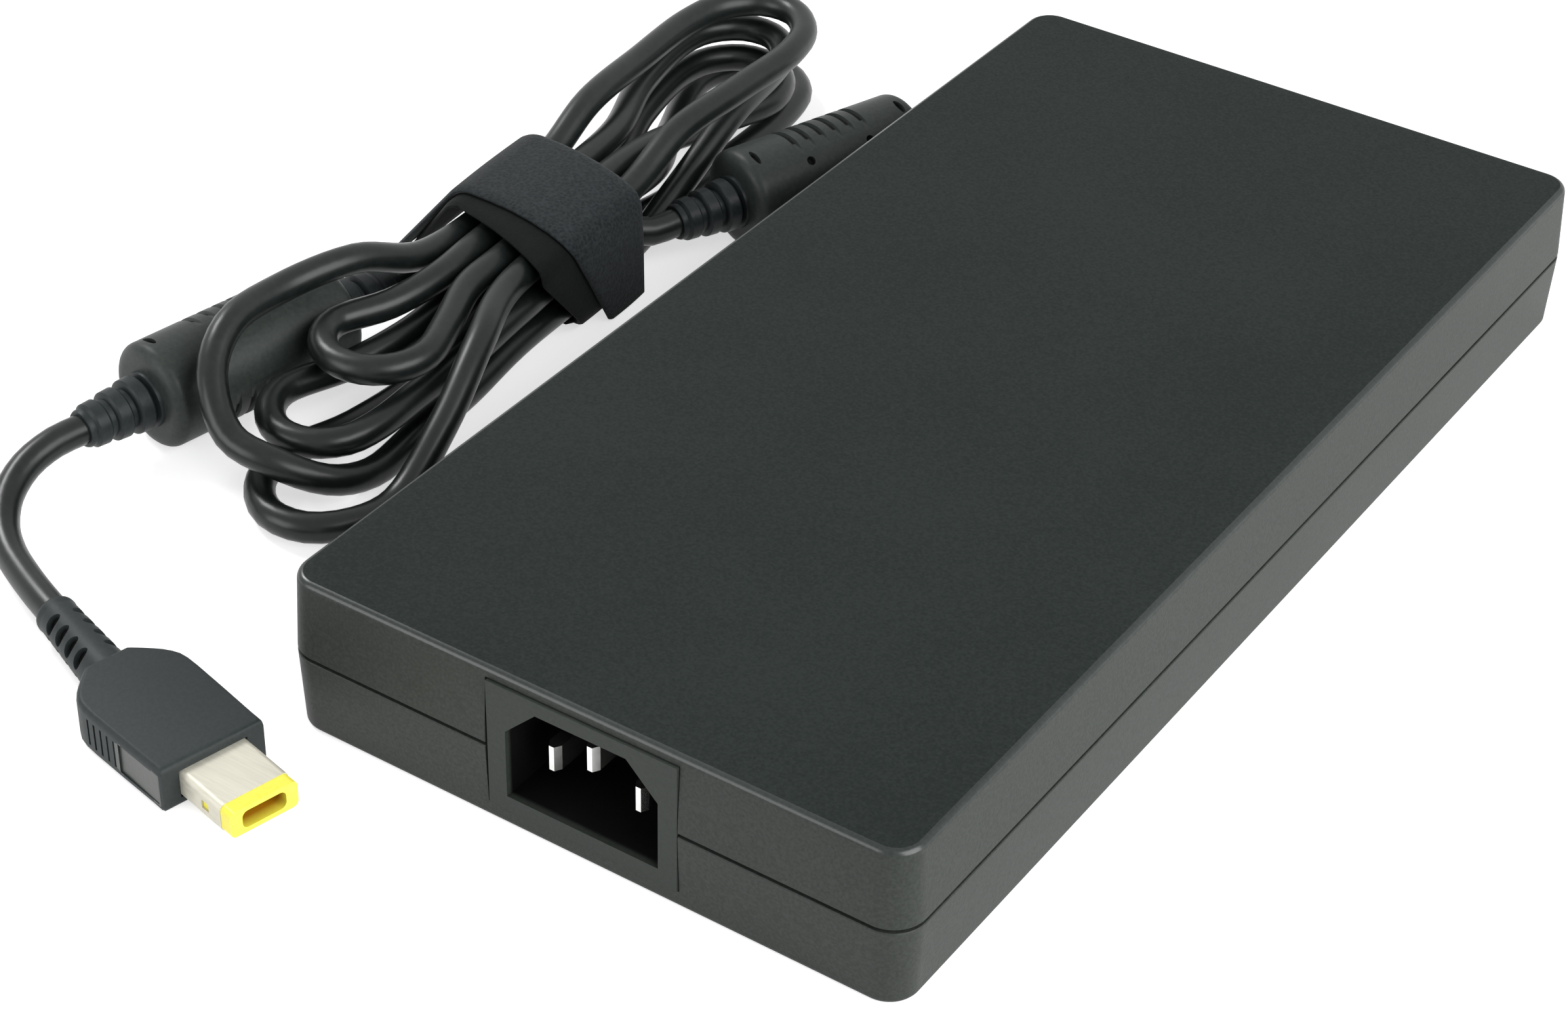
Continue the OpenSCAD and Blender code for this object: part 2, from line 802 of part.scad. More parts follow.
module control_chips() {
    color([0.1, 0.1, 0.11])
        for (step = [0, 1])
            on_board(8 + step * 11, choke_output_y) {
                block(8, 5, 1.6);
                for (lead = [-1.5 : 1 : 1.5], sy = [-1, 1])
                    translate([lead * 1.27, sy * 2.9, 0]) block(0.5, 0.8, 0.6);
            }
}

// Pads that carry heat from the tall parts to the upper shield
module thermal_pads() {
    core_top = board_top + transformer_height;
    sink_top = board_top + heat_sink_height;
    choke_top = board_top + pfc_core_z;
    color([0.55, 0.6, 0.65]) {
        translate([transformer_x, transformer_y, core_top])
            block(transformer_width - 4, transformer_length - 4, upper_shield_z - core_top);
        for (sx = [-1, 1])
            translate([sx * (sink_x - sink_thickness / 2), transformer_y, sink_top])
                block(sink_thickness, sink_length - 2, upper_shield_z - sink_top);
        translate([pfc_x, pfc_y, choke_top])
            block(pfc_core_x - 6, pfc_core_y - 6, upper_shield_z - choke_top);
    }
}

// Output pair and sense wire: up from the board and back to the strain relief
module output_wires() {
    start_y = shield_back_y + 3;
    end_y = inner_y - relief_flange_depth - fit_clearance;
    color([0.55, 0.15, 0.12])
        for (step = [-1, 0, 1]) {
            x = exit_x + 2.6 * step;
            wire_up([x, start_y, board_top], exit_z - board_top);
            translate([x, start_y, exit_z]) sphere(r = wire_radius, $fn = small_sides);
            wire_along_y([x, start_y, exit_z], end_y - start_y);
        }
}

// ---------- output cord ----------

// Bent tail of the strain relief behind the housing
relief_path = [[exit_x, face_y + relief_collar_depth - 0.4, exit_z], [exit_x, face_y + 4, exit_z],
    [exit_x, face_y + 7, 12.6], [exit_x, face_y + 10, 12], [exit_x - 0.3, face_y + 13, 10.9],
    [exit_x - 1, face_y + 15.8, 9.4], [exit_x - 2, face_y + 18.2, 7.6]];
relief_tail_radii = [4.4, 4.3, 4.1, 3.8, 3.5, 3.2, 2.9];
relief_end = relief_path[len(relief_path) - 1];
relief_heading = unit([-1.2, 2.1, -1.9]);

module housing_strain_relief() {
    flange_z = board_top + relief_board_gap;
    color([0.1, 0.11, 0.11]) {
        // Flange inside the end wall, neck through it, collar outside
        translate([exit_x, inner_y - relief_flange_depth / 2 - fit_clearance, flange_z])
            block(relief_flange, relief_flange_depth, exit_z + relief_flange / 2 - flange_z);
        translate([exit_x, inner_y - fit_clearance - 0.2, exit_z]) rotate([-90, 0, 0])
            cylinder(r = relief_neck_radius, h = wall + fit_clearance + 0.4,
                $fn = round_sides);
        translate([exit_x, face_y + 0.05, exit_z]) rotate([-90, 0, 0])
            cylinder(r = relief_collar_radius, h = relief_collar_depth, $fn = round_sides);
        tube(relief_path, relief_tail_radii, 12, [0, 1, 0], relief_heading);
    }
}

// Where each sleeve of a bead ends
function bead_near_end(at, heading) = at - bead_sleeve_length * heading_vector(heading);
function bead_far_end(at, heading) =
    at + (bead_length + bead_sleeve_length) * heading_vector(heading);

bead_1_near = bead_near_end(bead_1_at, bead_1_heading);
bead_1_far = bead_far_end(bead_1_at, bead_1_heading);
bead_2_near = bead_near_end(bead_2_at, bead_2_heading);
bead_2_far = bead_far_end(bead_2_at, bead_2_heading);

// From the strain relief round behind the housing's corner to the first bead
exit_route = [[-21.5, 124.8, 3], [-28, 127, 2.6], [-35, 126.5, 2.6], [-41.5, 122.5, 2.6],
    [-46, 115.5, 2.9], [-49.5, 106.5, 4.2], [-52.2, 97, 6.4]];
exit_path = concat([relief_end, relief_end + 4.8 * relief_heading], exit_route,
    [bead_1_far + 4.8 * heading_vector(bead_1_heading), bead_1_far]);

module cord(path, first_t, last_t, sides) {
    color([0.09, 0.1, 0.1])
        tube(path, [for (p = path) cord_diameter / 2 * 1.03], sides, first_t, last_t);
}

module exit_cord() {
    cord(exit_path, relief_heading, -heading_vector(bead_1_heading), tube_sides);
}

// Ferrite bead's moulded cover, along +Y from its own origin
module bead_cover() {
    radius = bead_diameter / 2;
    ledge = 0.8;
    round_over = 1.4;
    sleeve_root = 4.4;
    sleeve_tip = cord_diameter / 2 + 0.7;
    ring_count = 3;
    ring_pitch = (bead_sleeve_length - 2.4) / ring_count;
    core_half = bead_length / 2 - core_length_margin;
    difference() {
        rotate([-90, 0, 0])
            rotate_extrude($fn = round_sides)
                polygon([[0, 0], [radius - round_over - ledge, 0], [radius - ledge, round_over],
                    [radius - ledge, 2.4], [radius, 3], [radius, bead_length - 3],
                    [radius - ledge, bead_length - 2.4],
                    [radius - ledge, bead_length - round_over],
                    [radius - round_over - ledge, bead_length], [0, bead_length]]);
        // Hollow that holds the ferrite core
        translate([0, bead_length / 2 - core_half - 0.1, 0]) rotate([-90, 0, 0])
            difference() {
                cylinder(r = radius - core_skin, h = 2 * core_half + 0.2, $fn = round_sides);
                translate([0, 0, -cut])
                    cylinder(r = bead_bore / 2, h = 2 * core_half + 2 * cut,
                        $fn = round_sides);
            }
        // Grip grooves across the top and the underside
        for (k = [0 : 6])
            translate([0, bead_length / 2 + (k - 3) * 2.4, 0]) rotate([-90, 0, 0])
                for (turn = [40, 220])
                    rotate([0, 0, turn])
                        rotate_extrude(angle = 100, $fn = round_sides)
                            translate([radius - 0.45, -0.6]) square([1, 1.2]);
    }
    // Ringed sleeves at both ends
    for (end = [0, 1])
        translate([0, end * bead_length, 0])
            rotate([0, 0, end == 1 ? 0 : 180])
                rotate([-90, 0, 0]) {
                    translate([0, 0, -0.2]) cylinder(r = sleeve_root + 0.8, h = 1.8,
                        $fn = round_sides);
                    cylinder(r1 = sleeve_root - 0.9, r2 = sleeve_tip - 0.1,
                        h = bead_sleeve_length, $fn = round_sides);
                    for (k = [0 : ring_count - 1])
                        translate([0, 0, 2.4 + k * ring_pitch])
                            cylinder(r1 = sleeve_root - k * 0.45,
                                r2 = sleeve_root - 0.2 - k * 0.45, h = ring_pitch * 0.6,
                                $fn = round_sides);
                }
}

module bead_core() {
    core_half = bead_length / 2 - core_length_margin;
    translate([0, bead_length / 2 - core_half, 0]) rotate([-90, 0, 0])
        difference() {
            cylinder(r = bead_diameter / 2 - core_skin - 0.1, h = 2 * core_half,
                $fn = round_sides);
            translate([0, 0, -cut])
                cylinder(r = bead_bore / 2 + 0.1, h = 2 * core_half + 2 * cut,
                    $fn = round_sides);
        }
}

module bead_at(at, heading) {
    translate(at) rotate([0, 0, -heading]) children();
}

module bead_1_cover() { color([0.14, 0.16, 0.15]) bead_at(bead_1_at, bead_1_heading) bead_cover(); }
module bead_2_cover() { color([0.14, 0.16, 0.15]) bead_at(bead_2_at, bead_2_heading) bead_cover(); }
module bead_1_core() { color([0.3, 0.3, 0.32]) bead_at(bead_1_at, bead_1_heading) bead_core(); }
module bead_2_core() { color([0.3, 0.3, 0.32]) bead_at(bead_2_at, bead_2_heading) bead_core(); }

// ---------- strap round the hank ----------

// Arc of points in a strap's cross-section, from one angle to another
function arc(centre, radius, from, to) =
    [for (k = [0 : 4]) centre + radius * [cos(from + (to - from) * k / 4),
        sin(from + (to - from) * k / 4)]];

// Upper part of a turn's cross-section, from the right-hand wall to the slanting side
function strap_crown(spread) =
    concat(arc([strap_half - strap_corner, strap_top - strap_corner], strap_corner + spread, 0, 90),
        arc([strap_shoulder, strap_top - strap_corner], strap_corner + spread, 90,
            90 + strap_slant));

// Where the slanting side, moved out by a spread, comes down to a height
function strap_foot(spread, z) =
    let (fall = strap_top - strap_corner + (strap_corner + spread) * sin(90 + strap_slant) - z)
    [strap_shoulder + (strap_corner + spread) * cos(90 + strap_slant) - fall / tan(strap_slant), z];

// Closed cross-section of the inner turn's inside or outside
function turn_outline(spread, low) =
    concat(arc([strap_half - strap_base_corner, strap_thickness + strap_base_corner],
        strap_base_corner + spread, -90, 0), strap_crown(spread), [strap_foot(spread, low)]);

// Cross-section in X and Z, cut off between a far and a near end that run askew
module strap_turn(near_edge, near_skew) {
    reach = 40;
    intersection() {
        translate([0, reach, 0]) rotate([90, 0, 0]) linear_extrude(2 * reach) children();
        translate([0, 0, -cut])
            linear_extrude(strap_top + 10)
                polygon([[reach, strap_far_edge - strap_skew * reach],
                    [-reach, strap_far_edge + strap_skew * reach],
                    [-reach, near_edge + near_skew * reach],
                    [reach, near_edge - near_skew * reach]]);
    }
}

module hank_strap() {
    t = strap_thickness;
    bed = t - strap_bedding;
    outer_low = [strap_half, 4];
    color([0.2, 0.22, 0.23])
        translate([hank_at[0], hank_at[1], 0])
            rotate([0, 0, -hank_heading]) {
                strap_turn(strap_inner_edge, strap_inner_skew)
                    difference() {
                        polygon(turn_outline(t, 0));
                        polygon(turn_outline(0, t));
                    }
                strap_turn(strap_outer_edge, strap_skew)
                    polygon(concat([outer_low + [bed, 0]], strap_crown(bed),
                        [strap_foot(bed, t), strap_foot(bed + t, t)],
                        reversed(strap_crown(bed + t)), [outer_low + [bed + t, 0]]));
            }
}

// ---------- plug ----------

// Places its children in the plug's own frame: +X is the way it plugs in
module in_plug() {
    translate(plug_at) rotate([0, 0, plug_heading]) children();
}

// Rounded rectangular bar along +X, centred on the plug's axis
module plug_bar(width, height, radius, length) {
    translate([0, 0, plug_mid_z]) rotate([90, 0, 90])
        linear_extrude(length) {
            square([width - 2 * radius, height], center = true);
            square([width, height - 2 * radius], center = true);
            for (sx = [-1, 1], sy = [-1, 1])
                translate([sx * (width / 2 - radius), sy * (height / 2 - radius)])
                    circle(r = radius, $fn = small_sides);
        }
}

// Plan of the grip: nearly straight sides that round in towards the cord
module grip_plan(inset) {
    w = plug_width / 2 - inset;
    back = -plug_length + inset;
    polygon([[-inset, w - 0.3], [0.36 * back, w - 0.1], [0.62 * back, w], [0.78 * back, w - 0.3],
        [0.86 * back, w - 1], [0.93 * back, w - 2.4], [back, w - 4.6],
        [back, 4.6 - w], [0.93 * back, 2.4 - w], [0.86 * back, 1 - w], [0.78 * back, 0.3 - w],
        [0.62 * back, -w], [0.36 * back, 0.1 - w], [-inset, 0.3 - w]]);
}

module plug_grip() {
    edge = 1;
    rib_pitch = 1.8;
    rib_groove = 0.8;
    rib_count = 6;
    rib_start = -0.42 * plug_length;
    panel_depth = 0.35;
    side = plug_width / 2;
    slot_length = 1.6;
    slot_pitch = 3.3;
    color([0.24, 0.26, 0.26])
        in_plug()
            difference() {
                union() {
                    hull() {
                        translate([0, 0, edge])
                            linear_extrude(plug_thickness - 2 * edge) grip_plan(0);
                        translate([0, 0, 0.3 * edge])
                            linear_extrude(plug_thickness - 0.6 * edge) grip_plan(0.3 * edge);
                        linear_extrude(plug_thickness) grip_plan(edge);
                    }
                    // Tapered strain relief moulded on behind the grip
                    translate([0.8 - plug_length, 0, plug_mid_z]) rotate([0, -90, -relief_turn])
                        difference() {
                            cylinder(r1 = plug_relief_end, r2 = plug_relief_start,
                                h = plug_relief_length + 0.8, $fn = round_sides);
                            // Slots on alternating sides let it flex
                            for (k = [0 : 3], sy = [-1, 1])
                                translate([0, sy * 3.4, 4 + k * slot_pitch + slot_length / 2])
                                    block(3.6, 2.2, slot_length);
                        }
                }
                // Seat of the metal sleeve
                translate([-sleeve_seat, 0, 0])
                    plug_bar(sleeve_width, sleeve_height, sleeve_corner, sleeve_seat + cut);
                // Grip ribs on both narrow sides, behind the flat finger panels
                for (k = [0 : rib_count - 1], sy = [-1, 1])
                    translate([rib_start - k * rib_pitch, sy * side, 1.4])
                        block(rib_groove, 1.2, plug_thickness - 2.8);
                for (sy = [-1, 1])
                    translate([rib_start / 2 - 0.2, sy * (side + 0.5 - panel_depth), 1.2])
                        block(-rib_start - 1.8, 1, plug_thickness - 2.4);
            }
}

module plug_sleeve() {
    color([0.85, 0.84, 0.8])
        in_plug()
            difference() {
                translate([-sleeve_seat, 0, 0])
                    plug_bar(sleeve_width, sleeve_height, sleeve_corner,
                        sleeve_seat + sleeve_reach);
                translate([-sleeve_seat - cut, 0, 0])
                    plug_bar(core_width, core_height, core_corner,
                        sleeve_seat + sleeve_reach + 2 * cut);
                // Latch notch in both narrow sides
                for (sy = [-1, 1])
                    translate([sleeve_reach * 0.62, sy * sleeve_width / 2, plug_mid_z - 0.7])
                        block(1.6, 2, 1.4);
            }
}

// Insulating block that fills the back of the sleeve and holds the centre pin
module plug_inner_block() {
    color([0.15, 0.15, 0.15])
        in_plug()
            difference() {
                translate([-sleeve_seat, 0, 0])
                    plug_bar(core_width, core_height, core_corner,
                        sleeve_seat + inner_block_reach);
                translate([inner_block_reach - centre_pin_root, 0, plug_mid_z])
                    rotate([0, 90, 0])
                        cylinder(r = centre_pin_radius, h = centre_pin_root + cut,
                            $fn = small_sides);
            }
}

// Coloured tip: a rectangular ring inside the sleeve with a full-size collar in front of it
module plug_tip() {
    color([0.98, 0.9, 0.35])
        in_plug()
            difference() {
                union() {
                    translate([inner_block_reach, 0, 0])
                        plug_bar(core_width, core_height, core_corner,
                            sleeve_reach - inner_block_reach + cut);
                    translate([sleeve_reach, 0, 0])
                        plug_bar(sleeve_width - 0.2, sleeve_height - 0.2, sleeve_corner,
                            tip_length);
                }
                translate([inner_block_reach - cut, 0, 0])
                    plug_bar(tip_hole_width, tip_hole_height, tip_hole_height / 3,
                        sleeve_reach + tip_length + 2 * cut);
            }
}

module plug_centre_pin() {
    color([0.85, 0.78, 0.5])
        in_plug()
            translate([inner_block_reach - centre_pin_root, 0, plug_mid_z])
                rotate([0, 90, 0]) {
                    cylinder(r = centre_pin_radius,
                        h = centre_pin_root + centre_pin_reach - 0.5, $fn = small_sides);
                    translate([0, 0, centre_pin_root + centre_pin_reach - 0.5])
                        cylinder(r1 = centre_pin_radius, r2 = centre_pin_radius / 2, h = 0.5,
                            $fn = small_sides);
                }
}

// Where the cord meets the plug's strain relief, and the way it runs from there
plug_cord_heading = [-cos(plug_heading - relief_turn), -sin(plug_heading - relief_turn), 0];
plug_relief_root = plug_at + (0.8 - plug_length) * [cos(plug_heading), sin(plug_heading), 0];
plug_cord_end = plug_relief_root + [0, 0, plug_mid_z]
    + (plug_relief_length + 0.8) * plug_cord_heading;

plug_route = [[-114, -84.2, 7.5], [-112.6, -89.6, 5.8], [-109.2, -94.2, 4.4],
    [-104.6, -97.6, 3.7], [-99.4, -100.2, 3.6]];
plug_path = concat([bead_2_near, bead_2_near - 4.8 * heading_vector(bead_2_heading)],
    plug_route, [plug_cord_end + 4.8 * plug_cord_heading, plug_cord_end]);

module plug_cord() {
    cord(plug_path, -heading_vector(bead_2_heading), -plug_cord_heading, tube_sides);
}

// ---------- hank ----------

function reversed(list) = [for (i = [len(list) - 1 : -1 : 0]) list[i]];

// Place across and above the table of a cord in the waist, by column from the right and row
function waist(column, row) =
    [hank_column - hank_pitch * column, hank_row + hank_pitch * row];

// Point given along the hank: across, along its run and up
function in_hank(p) =
    [hank_at[0] + p[0] * cos(hank_heading) + p[1] * sin(hank_heading),
        hank_at[1] - p[0] * sin(hank_heading) + p[1] * cos(hank_heading), p[2]];

// Smooth change from 0 to 1 while a share passes from one value to another
function blend(share, window) =
    let (c = min(max((share - window[0]) / (window[1] - window[0]), 0), 1)) c * c * (3 - 2 * c);
function mixed(from, to, share) = from + (to - from) * share;

// One side of a loop: rings from the waist out to where the loop's end starts to turn
function strand(from, side, height, run, places, across, up) =
    [for (f = places)
        let (share = (f - places[0]) / (1 - places[0]))
        [mixed(from[0], side, blend(share, across)), run * f,
            mixed(from[1], height, blend(share, up))]];

// Half a turn of the hank: out from one place in the waist, round a loop's end and back.
// shape: [centre, half width, depth of the end, reach from the waist]; towards: 1 far, -1 near
// heights: [outgoing side, middle of the end, returning side]
// out and back: windows in which that side moves [across, up], as shares of its length
function half_turn(from, to, shape, heights, towards, out, back) =
    let (places = towards < 0 ? near_places : far_places, run = towards * (shape[3] - shape[2]),
        out_side = shape[0] - towards * shape[1], back_side = shape[0] + towards * shape[1])
    concat(
        strand(from, out_side, heights[0], run, places, out[0], out[1]),
        [for (i = [0 : turn_steps])
            let (a = 180 * i / turn_steps, half_way = 2 * i / turn_steps)
            [shape[0] + (out_side - shape[0]) * cos(a), run + towards * shape[2] * sin(a),
                i <= turn_steps / 2 ? mixed(heights[0], heights[1], blend(half_way, [0, 1]))
                    : mixed(heights[1], heights[2], blend(half_way - 1, [0, 1]))]],
        reversed(strand(to, back_side, heights[2], run, places, back[0], back[1])));

// Four turns, each with a near and a far end, one unbroken run from bead 1 to bead 2
hank_turns = concat(
    half_turn(waist(0, 1), waist(2, 1), [-1.8, 8.8, 9.4, 65], [8.6, 8.4, 8.6], -1,
        [[0.1, 1], [0, 0.5]], [[0.4, 1.1], [0, 1]]),
    half_turn(waist(2, 1), waist(1, 2), [-2.4, 9.2, 11, 73.5], [8.2, 8.2, 8.2], 1,
        [[0.1, 0.9], [0, 0.5]], [[0.7, 1], [0.1, 0.88]]),
    half_turn(waist(1, 2), waist(2, 2), [-1, 8.6, 8.6, 52], [14.5, 14.5, 14.5], -1,
        [[0.3, 1], [0.2, 1]], [[0.5, 1], [0.2, 1]]),
    half_turn(waist(2, 2), waist(0, 0), [-2.6, 9.4, 11, 74], [13.9, 13.9, 13.9], 1,
        [[0.1, 0.9], [0, 0.7]], [[0.62, 1.1], [0, 0.7]]),
    half_turn(waist(0, 0), waist(3, 2), [-4.2, 12.6, 13, 72.5], [2.7, 9.6, 20.6], -1,
        [[0, 0.8], [0, 0.4]], [[0, 0.8], [0, 0.35]]),
    half_turn(waist(3, 2), waist(0, 2), [0.9, 10.4, 14, 74.5], [19.6, 19.6, 19.6], 1,
        [[0, 0.7], [0, 0.3]], [[0.2, 1], [0, 0.4]]),
    half_turn(waist(0, 2), waist(1, 1), [5, 10.8, 13, 76.5], [2.7, 2.7, 2.7], -1,
        [[0, 0.6], [0.3, 1.1]], [[0.3, 1.1], [0, 0.6]]),
    half_turn(waist(1, 1), [1.6, 3.9], [-3.2, 9.4, 11.4, 81], [2.7, 2.7, 2.7], 1,
        [[0.15, 1], [0.08, 0.7]], [[0, 0.5], [0, 0.3]]));

hank_path = concat(
    [bead_1_near, bead_1_near - cord_diameter * heading_vector(bead_1_heading),
        in_hank([8.9, 9, 9.8])],
    [for (p = hank_turns) in_hank(p)],
    [in_hank([-2.2, 3, 4.1]), in_hank([-7.6, -5.5, 5]), in_hank([-11, -12, 7.2]),
        bead_2_far + cord_diameter * heading_vector(bead_2_heading), bead_2_far]);

// Least gap between any ring's middle, or a point between two rings, and the rest of the cord
function to_segment(p, a, b) =
    let (d = b - a, t = min(max((p - a) * d / (d * d), 0), 1)) norm(p - a - t * d);
hank_gap = min([for (i = [0 : len(hank_path) - 2], share = [0, 0.25, 0.5, 0.75])
    let (p = mixed(hank_path[i], hank_path[i + 1], share))
    for (j = [i + 3 : 1 : len(hank_path) - 2])
        to_segment(p, hank_path[j], hank_path[j + 1])]) - 2 * hank_radius;

module cord_hank() {
    echo(least_gap_of_the_hank_to_itself = hank_gap);
    color([0.09, 0.1, 0.1])
        tube(hank_path, [for (p = hank_path) hank_radius], hank_sides,
            -heading_vector(bead_1_heading), -heading_vector(bead_2_heading));
}

lower_housing();
upper_housing();
inlet_block();
live_pin();
neutral_pin();
earth_pin();
inlet_wires();
lower_insulating_sheet();
lower_shield();
circuit_board();
fuse();
line_filter_choke_1();
line_filter_choke_2();
filter_capacitor();
safety_capacitors();
bridge_rectifier();
pfc_choke_core();
pfc_choke_winding();
bulk_capacitors();
primary_heat_sink();
switching_transistors();
transformer_core();
transformer_winding();
optocouplers();
secondary_heat_sink();
rectifier_transistors();
output_capacitors();
output_choke();
control_chips();
thermal_pads();
upper_shield();
upper_insulating_sheet();
output_wires();
housing_strain_relief();
exit_cord();
bead_1_cover();
bead_1_core();
cord_hank();
hank_strap();
bead_2_cover();
bead_2_core();
plug_cord();
plug_grip();
plug_inner_block();
plug_sleeve();
plug_tip();
plug_centre_pin();
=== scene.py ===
import math

import bmesh
import bpy
from mathutils import Matrix, Vector


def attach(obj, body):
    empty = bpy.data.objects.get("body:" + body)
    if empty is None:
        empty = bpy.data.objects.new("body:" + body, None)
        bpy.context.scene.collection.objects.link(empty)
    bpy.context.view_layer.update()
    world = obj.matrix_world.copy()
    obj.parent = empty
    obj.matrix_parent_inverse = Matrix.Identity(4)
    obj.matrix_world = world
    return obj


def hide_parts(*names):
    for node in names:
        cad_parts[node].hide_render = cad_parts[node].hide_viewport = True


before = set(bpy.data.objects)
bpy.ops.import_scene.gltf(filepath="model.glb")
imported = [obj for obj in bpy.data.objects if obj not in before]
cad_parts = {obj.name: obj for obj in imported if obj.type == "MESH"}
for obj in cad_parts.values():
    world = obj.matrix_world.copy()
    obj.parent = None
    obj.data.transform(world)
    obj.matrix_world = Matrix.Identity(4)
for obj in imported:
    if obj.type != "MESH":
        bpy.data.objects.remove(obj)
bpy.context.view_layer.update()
MM = 0.001
scene = bpy.context.scene


# ---------- camera, solved from the edges in the photo ----------

cam_data = bpy.data.cameras.new("camera")
cam = bpy.data.objects.new("camera", cam_data)
scene.collection.objects.link(cam)
cam_right = Vector((0.8260, 0.5634, 0.0177))
cam_down = Vector((0.3425, -0.4766, -0.8097))
cam_fwd = Vector((-0.4477, 0.6748, -0.5866))
rot = Matrix((cam_right, -cam_down, -cam_fwd)).transposed().to_4x4()
cam.matrix_world = Matrix.Translation(Vector((204.74, -364.66, 301.38)) * MM) @ rot
cam_data.sensor_width = 36
cam_data.lens = 78.24
cam_data.shift_x = 0.0074
cam_data.shift_y = -0.0042
cam_data.clip_start = 0.01
scene.camera = cam


# ---------- helpers ----------

def unit(v):
    return Vector(v).normalized()


def heading(deg):
    """Direction on the table, from +Y towards +X."""
    a = math.radians(deg)
    return Vector((math.sin(a), math.cos(a), 0))


def along(deg):
    """Direction on the table, from +X towards +Y."""
    a = math.radians(deg)
    return Vector((math.cos(a), math.sin(a), 0))


def circle(sides):
    """Cosine and sine of evenly spaced angles."""
    angles = [2 * math.pi * k / sides for k in range(sides)]
    return [(math.cos(a), math.sin(a)) for a in angles]


def quarter(steps):
    """Cosine and sine of angles from 0 to 90 degrees."""
    angles = [math.radians(90 * k / steps) for k in range(steps + 1)]
    return [(math.cos(a), math.sin(a)) for a in angles]


def lofted(name, loops, smooth, mat=None):
    """Closed object through loops of equal point counts, in millimetres."""
    n = len(loops[0])
    last = n * (len(loops) - 1)
    faces = []
    for a in range(0, last, n):
        for k in range(n):
            k2 = (k + 1) % n
            faces.append((a + k, a + k2, a + n + k2, a + n + k))
    faces += [tuple(range(n - 1, -1, -1)), tuple(range(last, last + n))]
    mesh = bpy.data.meshes.new(name)
    mesh.from_pydata([tuple(Vector(p) * MM) for loop in loops for p in loop], [], faces)
    obj = bpy.data.objects.new(name, mesh)
    scene.collection.objects.link(obj)
    tidy(obj, smooth)
    if mat:
        obj.data.materials.append(mat)
    return obj


def tidy(obj, smooth):
    """Normals outwards, and smooth shading except over edges sharper than the angle."""
    bm = bmesh.new()
    bm.from_mesh(obj.data)
    bmesh.ops.remove_doubles(bm, verts=bm.verts, dist=1e-7)
    bmesh.ops.recalc_face_normals(bm, faces=bm.faces)
    limit = math.radians(smooth)
    for f in bm.faces:
        f.smooth = smooth > 0
    for e in bm.edges:
        e.smooth = not (len(e.link_faces) == 2 and e.calc_face_angle(0) > limit)
    bm.to_mesh(obj.data)
    bm.free()


def apply_modifiers(obj):
    deps = bpy.context.evaluated_depsgraph_get()
    mesh = bpy.data.meshes.new_from_object(obj.evaluated_get(deps))
    old = obj.data
    obj.modifiers.clear()
    obj.data = mesh
    bpy.data.meshes.remove(old)


def cut_by(obj, cutters, smooth):
    """Takes closed cutter objects away from an object, one after another."""
    for c in cutters:
        m = obj.modifiers.new("cut", "BOOLEAN")
        m.operation = "DIFFERENCE"
        m.solver = "EXACT"
        m.object = c
        apply_modifiers(obj)
    for c in cutters:
        bpy.data.objects.remove(c)
    tidy(obj, smooth)


def merge(obj, others):
    """Joins meshes into one object without any boolean."""
    bm = bmesh.new()
    bm.from_mesh(obj.data)
    for o in others:
        bm.from_mesh(o.data)
        bpy.data.objects.remove(o)
    bm.to_mesh(obj.data)
    bm.free()
    return obj


def join_meshes(obj, others):
    """Joins objects into one and keeps each face's material."""
    for o in others:
        names = [m.name for m in obj.data.materials]
        for m in o.data.materials:
            if m.name not in names:
                obj.data.materials.append(m)
                names.append(m.name)
        turn = [names.index(m.name) for m in o.data.materials]
        for f in o.data.polygons:
            f.material_index = turn[f.material_index]
    merge(obj, others)


def place(obj, at, *turns):
    """Turns an object by (degrees, axis) pairs, the last one first, and then moves it by
    millimetres."""
    matrix = Matrix.Translation(Vector(at) * MM)
    for deg, axis in turns:
        matrix = matrix @ Matrix.Rotation(math.radians(deg), 4, axis)
    obj.data.transform(matrix)
    obj.data.update()
    return obj


def paint(obj, mat, chosen):
    """Gives the faces that a test on their centre (mm) and normal picks another material."""
    obj.data.materials.append(mat)
    index = len(obj.data.materials) - 1
    for f in obj.data.polygons:
        if chosen(f.center / MM, f.normal):
            f.material_index = index


def rounded_rect(hx, hy, r, steps):
    """Closed rounded rectangle in plan, counter-clockwise."""
    pts = []
    for cx, cy, a0 in ((hx - r, hy - r, 0), (r - hx, hy - r, 90), (r - hx, r - hy, 180),
                       (hx - r, r - hy, 270)):
        for k in range(steps + 1):
            a = math.radians(a0 + 90 * k / steps)
            pts.append((cx + r * math.cos(a), cy + r * math.sin(a)))
    return pts


def box_cutter(x, y, z):
    """Box between the two numbers that each axis gives."""
    outline = ((x[0], y[0]), (x[1], y[0]), (x[1], y[1]), (x[0], y[1]))
    return lofted("cutter", [[(*p, h) for p in outline] for h in z], 0)


def frames(path):
    """A side and an up direction at each point of a route, without twist."""
    end = len(path) - 1
    ways = [unit(path[min(i + 1, end)] - path[max(i - 1, 0)]) for i in range(end + 1)]
    side = unit(ways[0].cross(Vector((0, 0, 1))))
    out = []
    for way in ways:
        side = unit(side - way * side.dot(way))
        out.append((side, side.cross(way).normalized()))
    return out


def tube(name, path, radii, sides, mat, smooth):
    """Closed round tube along a route, with a radius for each point."""
    loops = [[p + r * (c * side + s * up) for c, s in circle(sides)]
             for p, r, (side, up) in zip(path, radii, frames(path))]
    return lofted(name, loops, smooth, mat)


